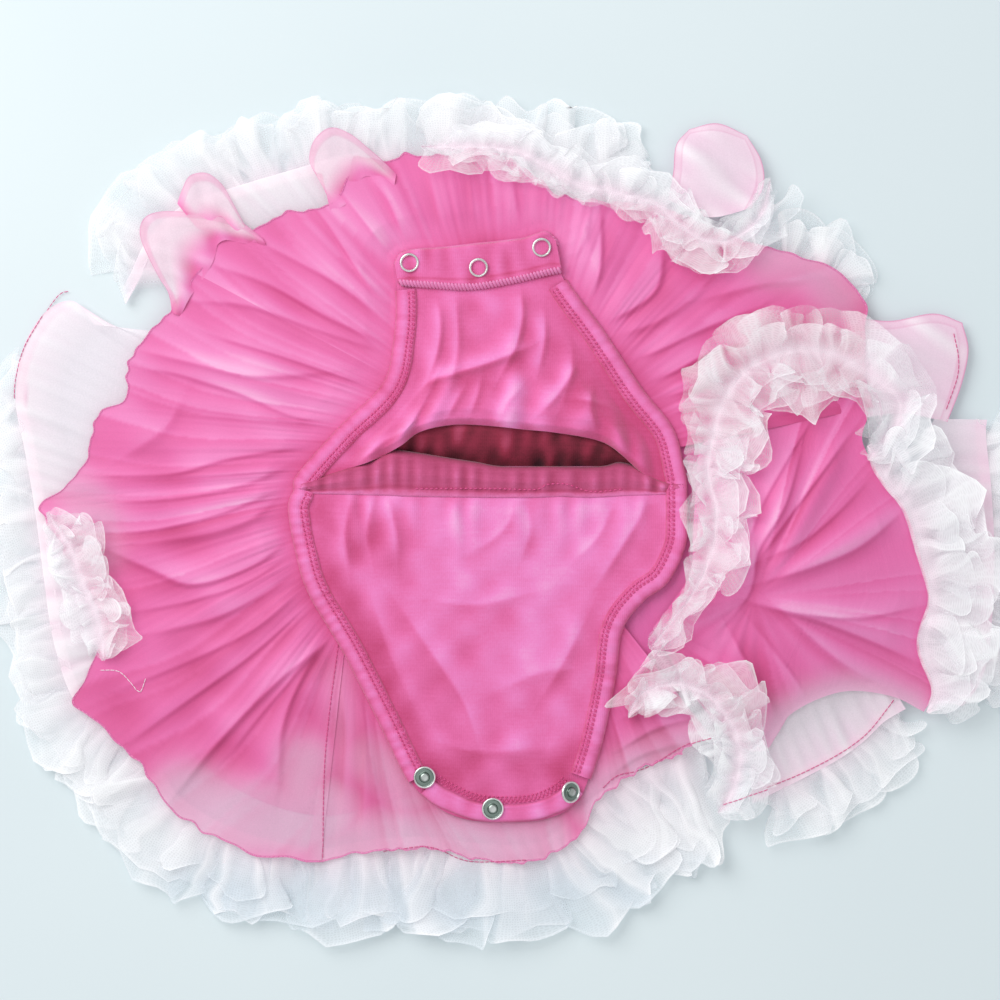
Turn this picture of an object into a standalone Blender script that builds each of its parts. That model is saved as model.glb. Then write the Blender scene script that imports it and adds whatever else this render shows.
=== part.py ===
"""A baby's tutu skirt with an attached snap bloomer, laid open on a table with its inside up.

The waist opening is in the middle. The bloomer's front lies towards +Y and its back towards -Y, with
the crotch unsnapped. The gathered chiffon lining spreads round it over the hidden outer tiers, a net
ruffle runs along the hem, and the skirt's right side is folded over on itself. Every size and table is
in millimetres, with Z up from the table, and turns into metres when a mesh is made.
"""

import math

import bmesh
import bpy
import numpy as np

MM = 0.001

# ---- Driving dimensions ----
CHIFFON_WALL = 1.2
NET_WALL = 1.2
COTTON_WALL = 1.5
SEAM_GAP = 0.3
HIDDEN_GAP = 0.5            # between the lining and the hidden tiers below it
TIER_GAP = 0.4              # between the outer tier and the lining over it
HEAP_RIM = 4.7              # height of the hidden tiers at their edge
UNDER_TIER_TURN = 1.6       # how far the hidden tiers' edge is rounded down
HEM_WIDTH = 9.0             # turned and stitched hem of a leg opening
HEM_INSET = 0.3
PANEL_OVER_LINING = 4.0     # how far the lining runs in under the bloomer's edge
PLEAT_START = 7.0           # from the lining's inner edge to its first row of points
PLEAT_CLEAR = 4.0           # no pleat rises within this distance of the bloomer's edge
PLEAT_RISE = 12.0           # over this length a pleat reaches its full height
PLEAT_AT_HEM = 0.5          # a pleat's height at the hem, as a share
GATHER_HEIGHT = 4.0         # how far the gathered front edge of the waist stands up
SLOT_FRONT_Y = 40.0         # the waist opening lies between these two
SLOT_BACK_Y = 24.0
SLOT_LEFT_X = -55.0
SLOT_RIGHT_X = 54.0
WAIST_X, WAIST_Y = -13, 19.5
BAND_DIP = 7.0              # height to which the front waistband hangs down into the opening
SNAP_RING = 9.5             # outer diameter of a socket's ring
SNAP_RING_WIRE = 1.3
SNAP_RING_HEIGHT = 1.0
SNAP_STUD = 11.0            # outer diameter of a stud's rim
SNAP_STUD_TILT = math.radians(35)
ROUND_SIDES = 16
FRONT_GATHERS = 10
FRONT_ROWS = [0, 0.05, 0.12, 0.24, 0.4, 0.6, 0.8, 1.0]      # shares from the waist edge to the crotch
FRONT_EDGE_RISE = [0.5, 1.0, 0.9, 0.45, 0.12, 0, 0, 0]      # how the gathered edge stands up, row by row
BACK_GATHERS = 10
BACK_ROWS = [0, 0.06, 0.14, 0.26, 0.4, 0.55, 0.7, 0.86, 1.0]
GATHER_DEPTH = 2.0
SIDE_CLEAR = 4.5            # from a leg hem to where the panel's folds begin
LEG_HEM_STEPS = 14
TIER_CORNER_PUFF = 3.0
RUFFLE_SIDE_RIGHT_WAVES = 11
RESTING_REACH = 5.0         # a ruffle clears the highest that its bed stands within this reach
WAVE_STEPS = 4              # points along one wave of a ruffle
PLEAT_STEPS = 3             # points along one pleat
HEM_STEPS = 3000            # points along a whole hem, before a stretch of it is taken
SPAN_STEPS = 12             # points to each span of a smooth line, before it is measured

# Soft heaps in the gathered tiers
HEAPS = [
    # x, y, height, reach_x, reach_y
    (-10.5, 22, 9.0, 95.0, 85.0),
    (130, -29.5, 15.0, 66.0, 64.0),
]

# Edge of the hidden tiers round the waist's middle
UNDER_TIER_EDGE = [
    # angle, radius
    (0, 178), (14, 165), (25, 170), (35, 165), (45, 150), (55, 138), (65, 128), (75, 124), (85, 133),
    (95, 138), (105, 138), (115, 131), (125, 136), (135, 148), (145, 158), (155, 156), (165, 158),
    (175, 170), (185, 184), (195, 180), (205, 184), (215, 198), (225, 200), (235, 196), (245, 186),
    (255, 166), (265, 160), (275, 165), (285, 156), (295, 143), (305, 144), (315, 146), (322, 158),
    (330, 188), (337, 203), (345, 206), (352, 194), (360, 178),
]

# Edge of the bloomer round the waist's middle
BLOOMER_EDGE = [
    # angle, radius
    (0, 97), (14, 94), (29, 88), (40, 87), (52, 91), (60, 96), (65, 100), (69, 107), (72, 116),
    (76, 124),
    (82, 118), (92, 114), (99, 114), (108, 117), (113, 115), (116, 97), (123, 79), (132, 69), (146, 68),
    (156, 71), (168, 79), (180, 90), (190, 97), (200, 99), (215, 103), (226, 106), (231, 110),
    (236, 114), (240, 119), (244, 125), (248, 132), (252, 142), (256, 152), (262, 166), (269, 171),
    (277, 172), (284, 169), (288, 158), (293, 144), (298, 128), (304, 112), (309, 104), (313, 100),
    (321, 98), (330, 102), (340, 102), (353, 99), (360, 97),
]

# Hem of the lining round the waist's middle
LINING_HEM = [
    # angle, radius
    (0, 200), (14, 194), (25, 206), (31, 199), (35, 189), (42, 173), (50, 164), (59, 156), (67, 147),
    (75, 143), (79, 148), (85, 156), (91, 161), (98, 159), (103, 163), (108, 162), (112, 178),
    (115, 187),
    (118, 172), (121, 153), (126, 158), (130, 162), (133, 196), (136, 204), (139, 197), (143, 210),
    (146, 204), (149, 186), (152, 180), (155, 183), (159, 190), (162, 184), (168, 181), (171, 193),
    (178, 197), (182, 209), (184, 220), (189, 212), (198, 202), (203, 206), (207, 221), (209, 232),
    (213, 226), (221, 222), (226, 226), (231, 224), (237, 220), (242, 214), (247, 207), (253, 194),
    (262, 186), (268, 189), (277, 192), (285, 183), (289, 170), (298, 164), (305, 168), (311, 169),
    (360, 200),
]

# Pleats of the front lining, from the side seam low on the left, clockwise
FRONT_PLEATS = [
    # waist_angle, hem_angle, height
    (229, 247.0, 1.0), (226, 234.0, 4.5), (219, 225.0, 3.5), (211, 216.0, 4.0), (204, 207.0, 3.0),
    (197, 199.0, 4.0), (190, 192.0, 3.0), (184, 186.0, 4.5), (177, 181.0, 5.0), (169, 175.0, 3.0),
    (160, 168.0, 3.5), (150, 161.0, 5.0), (141, 153.0, 3.0), (133, 145.0, 4.0), (126, 137.0, 3.0),
    (119, 127.0, 3.5), (112, 117.0, 4.0), (104, 107.0, 3.5), (95, 97.0, 3.0), (86, 88.0, 3.0),
    (76, 78.0, 3.0), (67, 69.0, 3.0), (59, 61.0, 5.0), (51, 52.0, 6.0), (43, 45.0, 3.0),
    (34, 36.0, 2.0),
    (24, 25.0, 1.0), (15, 14.5, 0.6),
]

# Pleats of the back lining, from the same seam, anticlockwise
BACK_PLEATS = [
    # waist_angle, hem_angle, height
    (229.3, 247.3, 1.0), (236, 254.0, 3.5), (245, 260.0, 2.5), (256, 267.0, 2.0), (268, 274.0, 2.0),
    (279, 280.0, 2.0), (288, 286.0, 2.5), (295, 292.0, 3.0), (301, 298.0, 3.5), (307, 304.0, 3.0),
    (313, 311.0, 1.0),
]

# The lining's folded side: its outline in four sides, and the ridges on it
SIDE_FOLD_LEFT = [(69.5, -55.5), (79.5, -42), (88, -27), (89, -7.5), (90.5, 12.5), (92, 32)]
SIDE_FOLD_RIGHT = [(203.5, -97), (208.5, -86), (200.5, -61.5), (206.5, -41), (200.5, -17), (194, 3.5),
                   (183.5, 17),
                   (173, 36), (176, 50.5), (171, 59.5)]
SIDE_FOLD_LOW = [(69.5, -55.5), (88, -86), (108, -110), (125, -116), (137.5, -98), (162, -87),
                 (186.5, -89), (203.5, -97)]
SIDE_FOLD_HIGH = [(92, 32), (99, 39), (117.5, 45), (142.5, 52), (171, 59.5)]
SIDE_FOLD_RIDGES = [
    # x0, y0, x1, y1, half_width, height
    (168.5, 43, 123.5, -34.5, 5.0, 5.0),
    (140, 32, 122.5, -27, 6.0, 4.5),
    (118, -12.5, 93, -64, 7.0, 5.0),
    (194, 5, 118.5, -38, 7.0, 4.5),
    (204, -56.5, 115.5, -42, 8.0, 4.0),
    (104, -51.5, 133.5, -108.5, 5.0, 4.5),
    (127.5, -42, 173, -86, 7.0, 3.0),
]

# Stretches of the hem, anticlockwise: the line where the net ruffle is sewn on, and the ruffle's width
HEM_TOP_RIGHT = [
    # x, y, width
    (175, 103.5, 16), (158.5, 120.5, 17.5), (142.5, 125.5, 19.5), (126.5, 130.5, 19.5),
]
HEM_ABOVE = [
    # x, y, width
    (70.5, 148.5, 37.5), (47, 153, 39.5), (29, 158.5, 37.5), (12.5, 165.5, 34.5), (-3, 171.5, 31.5),
    (-16.5, 176, 29.5), (-35, 175, 29.5), (-52.5, 175, 28.5), (-66.5, 178, 27.5), (-84, 176, 28.5),
    (-109, 169, 30.5), (-136, 161, 32.5), (-160.5, 152.5, 32.5), (-178, 136.5, 29.5),
    (-187.5, 117.5, 23.5),
    (-194, 106, 16),
]
HEM_BELOW = [
    # x, y, width
    (-206.5, 93, 8), (-216.5, 104.5, 10), (-229.5, 99, 11), (-240, 81.5, 12), (-243.5, 56.5, 12.5),
    (-239, 32, 16.5), (-234, 2.5, 21), (-229.5, -32, 24.5), (-225, -61.5, 25.5), (-215.5, -90, 28.5),
    (-201, -104, 31.5), (-179, -123.5, 34.5), (-168, -140.5, 35.5), (-151, -152.5, 35.5),
    (-132, -161, 36.5),
    (-111, -166.5, 38.5), (-91.5, -168.5, 38.5), (-69.5, -164.5, 39.5), (-40, -163, 39.5),
    (-17.5, -166, 38.5),
    (11.5, -166.5, 37.5), (28, -157, 43.5), (44, -142, 48.5), (63.5, -130, 47.5), (81.5, -121.5, 44.5),
    (95, -113, 37.5),
]
HEM_LOW_RIGHT = [
    # x, y, width
    (118.5, -141.5, 24.5), (128.5, -136.5, 27), (142.5, -129.5, 30.5), (159.5, -120.5, 30.5),
    (173, -111, 29.5),
    (183.5, -101, 26.5), (194.5, -94.5, 24.5),
]
HEM_RIGHT = [
    # x, y, width
    (222, -94, 15), (231, -81.5, 16.5), (235.5, -61.5, 17.5), (237.5, -22, 18), (236, 12.5, 18),
    (233.5, 38, 17.5),
]

# Inner edges of the outer tier, hidden under the lining
TIER_LEFT_INNER = [(-178, 91), (-177, 76.5), (-179, 57.5), (-190, 47), (-196.5, 37), (-200, 24.5),
                   (-206.5, 7.5), (-202.5, -15),
                   (-196.5, -42), (-193.5, -61.5), (-202.5, -79.5)]
TIER_TOP_LEFT_INNER = [(-62, 162), (-79.5, 148.5), (-101.5, 141.5), (-121, 133), (-141, 130.5),
                       (-158, 118), (-164, 106)]
TIER_LOW_RIGHT_INNER = [(117.5, -125.5), (127.5, -108.5), (142.5, -92), (164.5, -83), (186.5, -82.5)]
TIER_RIGHT_INNER = [(206.5, -91), (201.5, -61.5), (200.5, -22), (199.5, 7.5), (203.5, 36)]

# The outer tier's corner high on the right, and the loop of it that turns out at the top
TIER_CORNER_LEFT = [(173, 48), (170, 64), (168, 81.5), (172, 97)]
TIER_CORNER_RIGHT = [(215.5, 46), (222.5, 64), (226, 81.5), (223, 95)]
TIER_CORNER_LOW = [(173, 48), (194, 50), (215.5, 46)]
TIER_CORNER_HIGH = [(172, 97), (189, 96), (209, 99.5), (223, 95)]
LOOP_LEFT = [(77.5, 155), (80, 169), (81.5, 182.5), (88, 190.5)]
LOOP_RIGHT = [(118.5, 151), (124.5, 162.5), (123.5, 175), (116.5, 187.5)]
LOOP_LOW = [(77.5, 155), (97, 146.5), (118.5, 151)]
LOOP_HIGH = [(88, 190.5), (102, 193.5), (116.5, 187.5)]
LOOP_LOW_MID = 10.2         # middle of the loop's wall at its root and at its tip
LOOP_HIGH_MID = 4.0

# Ruffles on hems that are turned up over the skirt: the sewn line, and the net's width to each side
RUFFLE_SIDE_RIGHT = [
    # x, y, outward, inward
    (204.5, -97, 23.5, 2.0), (208.5, -85, 25.5, 2.0), (202.5, -62.5, 29.5, 3.0), (207, -41, 27.5, 2.0),
    (201.5, -17, 30.5, 3.0), (195, 3.5, 31.5, 3.0), (184.5, 17, 29.5, 3.0), (175, 34, 25.5, 4.0),
]
RUFFLE_SIDE_LEFT = [
    # x, y, outward, inward
    (178, 60.5, 16.5, 15), (167, 75.5, 21.5, 19.5), (150, 81.5, 21.5, 21.5), (131.5, 79.5, 20.5, 21.5),
    (115.5, 71.5, 21.5, 19.5), (104, 56.5, 17.5, 22.5), (99, 39, 13, 20.5), (96, 22, 9, 16),
    (100, 3.5, 12, 13), (98, -16.5, 9, 14), (90, -36, 7.5, 12), (79.5, -50.5, 7.5, 10),
    (68.5, -65.5, 9, 9),
]
RUFFLE_FOLD_LOW = [
    # x, y, outward, inward
    (57.5, -99, 6, 7), (64.5, -87, 7.5, 9), (77.5, -83, 9, 11), (93, -86, 11, 13),
    (105, -98, 13, 15), (112, -116, 13, 15), (109, -134.5, 13, 14), (102, -146.5, 11, 13),
]
RUFFLE_TOP_TURNED = [
    # x, y, outward, inward
    (127.5, 165, 7, 7), (123.5, 148.5, 8, 8), (112, 137.5, 9, 10), (96, 134.5, 9, 12),
    (81.5, 143.5, 11, 11), (68.5, 154, 13, 10), (50, 159, 16.5, 8), (31.5, 163, 15, 8),
    (16.5, 172, 13, 10), (2.5, 179, 13, 12), (-12.5, 182, 9, 9),
]
RUFFLE_LEFT_TURNED = [
    # x, y, outward, inward
    (-228, 1.5, 9, 11), (-217, -16.5, 12, 14), (-210.5, -34.5, 14, 16.5), (-203.5, -51.5, 13, 19.5),
    (-200.5, -71.5, 11, 16.5),
]

# Bloomer panels: four sides each
FRONT_LEFT = [(-58, 124.5), (-55.5, 106), (-56.5, 86), (-62, 64), (-84, 42), (-104, 19.5), (-106, 13)]
FRONT_RIGHT = [(22.5, 136.5), (25, 118), (44, 91), (63.5, 61.5), (78.5, 42), (84, 22), (85, 14.5)]
FRONT_CROTCH = [(-58, 124.5), (-52, 130.5), (-30, 132.5), (-17.5, 134), (4.5, 136.5), (16.5, 140),
                (22.5, 136.5)]
FRONT_WAIST = [(-106, 13), (-94, 16.5), (-82, 22), (-69.5, 26), (-54.5, 33.5), (-45, 40.5), (-30, 44),
               (-15.5, 44),
               (4.5, 42), (24, 40), (44, 36), (54.5, 29), (63.5, 21), (74.5, 15.5), (85, 14.5)]
BACK_LEFT = [(-106, 11.5), (-108.5, 2.5), (-104, -22), (-98, -39.5), (-82, -66.5), (-64.5, -101),
             (-50, -130.5), (-41, -140.5)]
BACK_RIGHT = [(85, 10.5), (85, 0), (84, -15), (76, -32), (63.5, -42), (53.5, -56.5), (50, -81.5),
              (44, -111),
              (38, -130.5), (34, -140.5)]
BACK_CROTCH = [(-41, -140.5), (-30, -147.5), (-15.5, -151), (9.5, -151), (24, -147.5), (34, -140.5)]
BACK_WAIST = [(-106, 11.5), (-94, 15), (-82, 18.5), (-71.5, 15.5), (-35, 11.5), (-5.5, 11.5),
              (16.5, 11), (44, 13),
              (67.5, 13), (74.5, 11.5), (85, 10.5)]

# Broad folds on the panels
FRONT_RIDGES = [
    # x0, y0, x1, y1, half_width, height
    (-46, 60.5, 12.5, 85, 6.0, 2.6), (-37, 110, -43, 60.5, 6.0, 1.6), (6.5, 110, -6.5, 66.5, 6.0, 1.8),
    (27, 91, 47, 55.5, 6.0, 1.8), (71, 44.5, 24, 54, 6.0, 1.8),
]
BACK_RIDGES = [
    # x0, y0, x1, y1, half_width, height
    (-82, 12.5, -78.5, -32, 7.0, 2.2), (-57, 10.5, -62, -32, 7.0, 1.8), (-3, 10.5, 5.5, -22, 6.0, 1.8),
    (63.5, 11.5, 44, -32, 7.0, 2.2), (-54.5, -47, -27.5, -91, 8.0, 1.4), (39, -42, 14.5, -86, 8.0, 1.4),
    (-30, -113.5, 16.5, -116, 8.0, 1.2),
]

# Turned hems, the crotch facing and the waistbands
CROTCH_HEM_OUTER = [(-44.5, -137.5), (-35, -144), (-15.5, -150.5), (9.5, -150.5), (27, -145),
                    (35.5, -137.5)]
CROTCH_HEM_INNER = [(-38, -131), (-30, -136), (-14.5, -142), (8.5, -142), (22, -137), (29, -131)]
FACING_CROTCH = [(-57.5, 124), (-52, 130), (-30, 132), (-17.5, 133.5), (4.5, 136), (16.5, 139.5),
                 (22, 136)]
FACING_LOW = [(-55.5, 114), (-40, 113), (-20, 112), (-0.5, 115), (17, 119), (25, 120.5)]
FACING_LEFT = [(-57.5, 124), (-56.5, 119), (-55.5, 114)]
FACING_RIGHT = [(22, 136), (23.5, 128.5), (25, 120.5)]
BAND_BACK_WAIST = [(-62.5, 28), (-49.5, 28), (-15.5, 26), (24, 23.5), (49, 23), (61.5, 20),
                   (66.5, 17.5)]
BAND_BACK_LOW = [(-68.5, 16), (-35, 12.5), (-5.5, 12.5), (16.5, 12), (44, 14), (65.5, 14)]
BAND_BACK_GATHERS = 9
BAND_FRONT_HIGH = [(-51.5, 39), (-43, 44), (-30, 47), (4.5, 46), (39, 41), (50.5, 37)]
BAND_FRONT_LOW = [(-50.5, 33), (-42.5, 32.5), (-10.5, 32), (24, 31), (44, 30), (51.5, 29)]

# Snaps
SNAP_SOCKETS = [
    # name, x, y
    ("left", -50, 124), ("middle", -16, 121.5), ("right", 15, 131.5),
]
SNAP_STUDS = [
    # name, x, y, tilt
    ("left", -42.5, -129, 0.0), ("middle", -9, -144.5, 0.0), ("right", 29, -136, SNAP_STUD_TILT),
]
STUD_PROFILE = [
    # radius, height: a rolled rim, a dished centre and the nub
    (5.5, 0.0), (5.5, 0.9), (5.0, 1.5), (4.3, 1.0), (2.4, 0.8), (1.8, 2.2), (1.0, 2.6),
]

# Colours as linear red, green and blue, then roughness and metallic
MATERIALS = {
    "chiffon_bright": ((0.86, 0.16, 0.45), 0.75, 0.0),
    "chiffon_hidden": ((0.80, 0.25, 0.50), 0.80, 0.0),
    "chiffon_pale": ((0.90, 0.68, 0.78), 0.75, 0.0),
    "net_white": ((0.92, 0.91, 0.92), 0.70, 0.0),
    "cotton_jersey": ((0.80, 0.13, 0.41), 0.85, 0.0),
    "cotton_shaded": ((0.55, 0.08, 0.24), 0.85, 0.0),
    "nickel": ((0.62, 0.62, 0.58), 0.25, 1.0),
}


def clear_scene():
    """Remove what a new file holds."""
    for thing in list(bpy.data.objects):
        bpy.data.objects.remove(thing, do_unlink=True)


def finish(name):
    """The named material, made when it is first asked for."""
    material = bpy.data.materials.get(name)
    if material is None:
        colour, roughness, metallic = MATERIALS[name]
        material = bpy.data.materials.new(name)
        material.use_nodes = True
        shader = material.node_tree.nodes["Principled BSDF"]
        shader.inputs["Base Color"].default_value = (*colour, 1.0)
        shader.inputs["Roughness"].default_value = roughness
        shader.inputs["Metallic"].default_value = metallic
        material.diffuse_color = (*colour, 1.0)
    return material


def place_mesh(name, points, faces, material):
    """A closed mesh object from points in millimetres, with its faces pointing outwards."""
    mesh = bpy.data.meshes.new(name)
    mesh.from_pydata([tuple(float(value) * MM for value in point) for point in points], [], faces)
    shape = bmesh.new()
    shape.from_mesh(mesh)
    bmesh.ops.recalc_face_normals(shape, faces=shape.faces)
    shape.to_mesh(mesh)
    shape.free()
    mesh.materials.append(finish(material))
    mesh.shade_smooth()
    mesh.set_sharp_from_angle(angle=math.radians(50))
    thing = bpy.data.objects.new(name, mesh)
    bpy.context.scene.collection.objects.link(thing)
    return thing


# ---- Lines and grids ----

def smooth_line(rows, places):
    """Points along a smooth curve through the rows, at shares of its length or at an even count."""
    shares = np.linspace(0, 1, places) if isinstance(places, int) else np.asarray(places, dtype=float)
    knots = np.array(rows, dtype=float)
    before = 2 * knots[0] - knots[1]
    after = 2 * knots[-1] - knots[-2]
    knots = np.vstack([before, knots, after])
    step = np.linspace(0, 1, SPAN_STEPS, endpoint=False)[:, None]
    spans = []
    for a, b, c, d in zip(knots, knots[1:], knots[2:], knots[3:]):
        cubic = 2 * b + (c - a) * step + (2 * a - 5 * b + 4 * c - d) * step ** 2
        spans.append(0.5 * (cubic + (3 * b - a - 3 * c + d) * step ** 3))
    curve = np.vstack(spans + [knots[-2:-1]])
    lengths = np.hypot(*np.diff(curve[:, :2], axis=0).T)
    travelled = np.concatenate([[0], np.cumsum(lengths)])
    wanted = shares * travelled[-1]
    return np.column_stack([np.interp(wanted, travelled, column) for column in curve.T])


def polar_points(table, angles, inset=0.0):
    """Points round the waist's middle at the table's radius for each angle, less an inset."""
    angle_column, radius_column = np.array(table, dtype=float).T
    radius = np.interp(angles, angle_column, radius_column) - inset
    turn = np.radians(angles)
    return np.column_stack([WAIST_X + radius * np.cos(turn), WAIST_Y + radius * np.sin(turn)])


def between(first, second, shares):
    """Grid of points from one line to another, at the given shares of the way."""
    shares = np.asarray(shares, dtype=float)
    return first[:, None, :] + (second - first)[:, None, :] * shares[None, :, None]


def four_sided(left, right, low, high, columns, row_shares):
    """Grid that fills four sides: low and high run left to right, left and right run low to high."""
    row_shares = np.asarray(row_shares, dtype=float)
    left, right = smooth_line(left, row_shares), smooth_line(right, row_shares)
    low, high = smooth_line(low, columns), smooth_line(high, columns)
    across = np.linspace(0, 1, columns)[:, None, None]
    along = row_shares[None, :, None]
    sides = left[None] * (1 - across) + right[None] * across
    ends = low[:, None] * (1 - along) + high[:, None] * along
    corners = (low[0] * (1 - across) * (1 - along) + low[-1] * across * (1 - along)
               + high[0] * (1 - across) * along + high[-1] * across * along)
    return sides + ends - corners


def lift(grid, heights):
    """A flat grid with a height at each point."""
    return np.concatenate([grid[..., :2], np.broadcast_to(heights, grid.shape[:2])[..., None]], axis=2)


def grid_normals(grid):
    """The upward normal at each point of a grid."""
    normals = np.cross(np.gradient(grid, axis=0), np.gradient(grid, axis=1))
    normals /= np.linalg.norm(normals, axis=2, keepdims=True)
    return normals * np.sign(normals[..., 2:])


def distances(grid, places):
    """The distance from each point of a grid to each of the places."""
    return np.linalg.norm(grid[:, :, None, :] - places, axis=3)


def outward(line, reach):
    """The unit normal to the right of a line's direction, taken over a reach of points to both sides."""
    number = np.arange(len(line))
    ahead = line[np.minimum(number + reach, len(line) - 1), :2]
    run = ahead - line[np.maximum(number - reach, 0), :2]
    run /= np.hypot(*run.T)[:, None]
    return np.column_stack([run[:, 1], -run[:, 0]])


def stretch(hem, first, last, columns):
    """Points from one row of a hem to another, each with its x, y, width and outward normal."""
    fine = smooth_line(hem, HEM_STEPS)
    fine = np.column_stack([fine, outward(fine, int(HEM_STEPS * 0.3 / len(hem)))])
    rows = np.array([[hem[first][:2], hem[last][:2]]])
    first, last = distances(rows, fine[:, :2]).argmin(axis=2)[0]
    trim = math.ceil(SEAM_GAP / math.dist(fine[0, :2], fine[1, :2]))
    return fine[np.linspace(first + trim, last - trim, columns).round().astype(int)]


# ---- Closed solids ----

def closed_between(name, upper, lower, material):
    """The closed solid between two grids of the same size."""
    columns, rows = upper.shape[:2]
    points = np.concatenate([upper.reshape(-1, 3), lower.reshape(-1, 3)])
    below = columns * rows
    faces = []
    for i in range(columns - 1):
        for j in range(rows - 1):
            a, b = i * rows + j, (i + 1) * rows + j
            faces.append((a, b, b + 1, a + 1))
            faces.append((below + a, below + a + 1, below + b + 1, below + b))
    rim = [i * rows for i in range(columns)]
    rim += [(columns - 1) * rows + j for j in range(1, rows)]
    rim += [i * rows + rows - 1 for i in range(columns - 2, -1, -1)]
    rim += list(range(rows - 2, 0, -1))
    for a, b in zip(rim, rim[1:] + rim[:1]):
        faces.append((a, below + a, below + b, b))
    return place_mesh(name, points, faces, material)


def laid_wall(name, upper, wall, material):
    """Cloth that lies nearly flat: a wall straight down from its upper face."""
    return closed_between(name, upper, upper - np.array([0, 0, wall]), material)


def standing_wall(name, middle, wall, material):
    """Cloth that waves: a wall to both sides of its middle, square to it, and never below the table."""
    half = grid_normals(middle) * wall / 2
    lower = middle - half
    lower[..., 2] = np.maximum(lower[..., 2], 0.0)
    return closed_between(name, middle + half, lower, material)


def turned_piece(name, profile, hollow, material):
    """A round piece: the profile of radius and height, turned about its own upright axis."""
    points = []
    for side in range(ROUND_SIDES):
        turn = 2 * math.pi * side / ROUND_SIDES
        across, along = math.cos(turn), math.sin(turn)
        points += [(radius * across, radius * along, height) for radius, height in profile]
    count = len(profile)
    faces = []
    for side in range(ROUND_SIDES):
        here, there = side * count, (side + 1) % ROUND_SIDES * count
        for k in range(count if hollow else count - 1):
            following = (k + 1) % count
            faces.append((here + k, there + k, there + following, here + following))
    if not hollow:
        faces.append([side * count for side in range(ROUND_SIDES)])
        faces.append([side * count + count - 1 for side in range(ROUND_SIDES)])
    return place_mesh(name, points, faces, material)


# ---- Heights ----

def heap(x, y):
    """Upper side of the hidden tiers."""
    height = HEAP_RIM
    for mid_x, mid_y, rise, reach_x, reach_y in HEAPS:
        height = height + rise * np.exp(-((x - mid_x) / reach_x) ** 2 - ((y - mid_y) / reach_y) ** 2)
    return height


def ridges(rows, x, y):
    """Soft ridges along straight lines, fading at both ends."""
    height = 0 * x
    for x0, y0, x1, y1, half_width, rise in rows:
        run_x, run_y = x1 - x0, y1 - y0
        length = math.hypot(run_x, run_y)
        along = ((x - x0) * run_x + (y - y0) * run_y) / length ** 2
        across = ((x - x0) * run_y - (y - y0) * run_x) / length
        fade = np.sin(np.pi * np.clip(along, 0, 1)) ** 0.6
        height = np.maximum(height, rise * fade * np.exp(-(across / half_width) ** 2))
    return height


def lining_top(x, y):
    """Upper side of the lining between its pleats."""
    return heap(x, y) + HIDDEN_GAP + CHIFFON_WALL


def side_fold_top(x, y):
    """Upper side of the lining's folded side, before its edges are eased down."""
    return lining_top(x, y) + ridges(SIDE_FOLD_RIDGES, x, y)


def tier_top(x, y):
    """Upper side of the outer tier, just under the lining."""
    return heap(x, y) + HIDDEN_GAP - TIER_GAP


def panel_top(x, y):
    """Upper side of a bloomer panel between its folds."""
    return lining_top(x, y) + SEAM_GAP + COTTON_WALL


def trim_top(x, y):
    """Upper side of a hem or facing that lies on a panel."""
    return panel_top(x, y) + SEAM_GAP + COTTON_WALL


def highest_near(surface, x, y, reach):
    """The highest that a surface stands within reach of each point."""
    turns = np.radians(np.arange(0, 360, 45))
    around = [surface(x + reach * math.cos(turn), y + reach * math.sin(turn)) for turn in turns]
    return np.max([surface(x, y)] + around, axis=0)


# ---- Hidden tiers ----

def under_tiers():
    """The rounded mass of gathered tiers below the garment, in four blocks round the waist opening."""
    shares = [0, 0.25, 0.5, 0.72, 0.9, 1.0]
    columns = 20
    inset = 8.0
    front_edge = polar_points(UNDER_TIER_EDGE, np.linspace(171, 9, columns))
    back_edge = polar_points(UNDER_TIER_EDGE, np.linspace(189, 351, columns))
    for name, slot_y, edge in [("under_tiers_front", SLOT_FRONT_Y, front_edge),
                               ("under_tiers_back", SLOT_BACK_Y, back_edge)]:
        run = np.linspace(edge[0, 0] + inset, edge[-1, 0] - inset, columns)
        grid = between(np.column_stack([run, np.full(columns, slot_y)]), edge, shares)
        heights = heap(grid[..., 0], grid[..., 1])
        heights[:, -1] -= UNDER_TIER_TURN
        closed_between(name, lift(grid, heights), lift(grid, 0.0), "chiffon_hidden")
    front_y, back_y = SLOT_FRONT_Y - SEAM_GAP, SLOT_BACK_Y + SEAM_GAP
    for name, x0, x1, columns in [("under_tiers_left", front_edge[0, 0] + inset, SLOT_LEFT_X, 7),
                                  ("under_tiers_right", SLOT_RIGHT_X, front_edge[-1, 0] - inset, 10)]:
        run = np.linspace(x0, x1, columns)
        low = np.column_stack([run, np.full(columns, back_y)])
        high = np.column_stack([run, np.full(columns, front_y)])
        grid = between(low, high, [0, 1])
        upper = lift(grid, heap(grid[..., 0], grid[..., 1]))
        closed_between(name, upper, lift(grid, 0.0), "chiffon_hidden")


# ---- Lining ----

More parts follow.
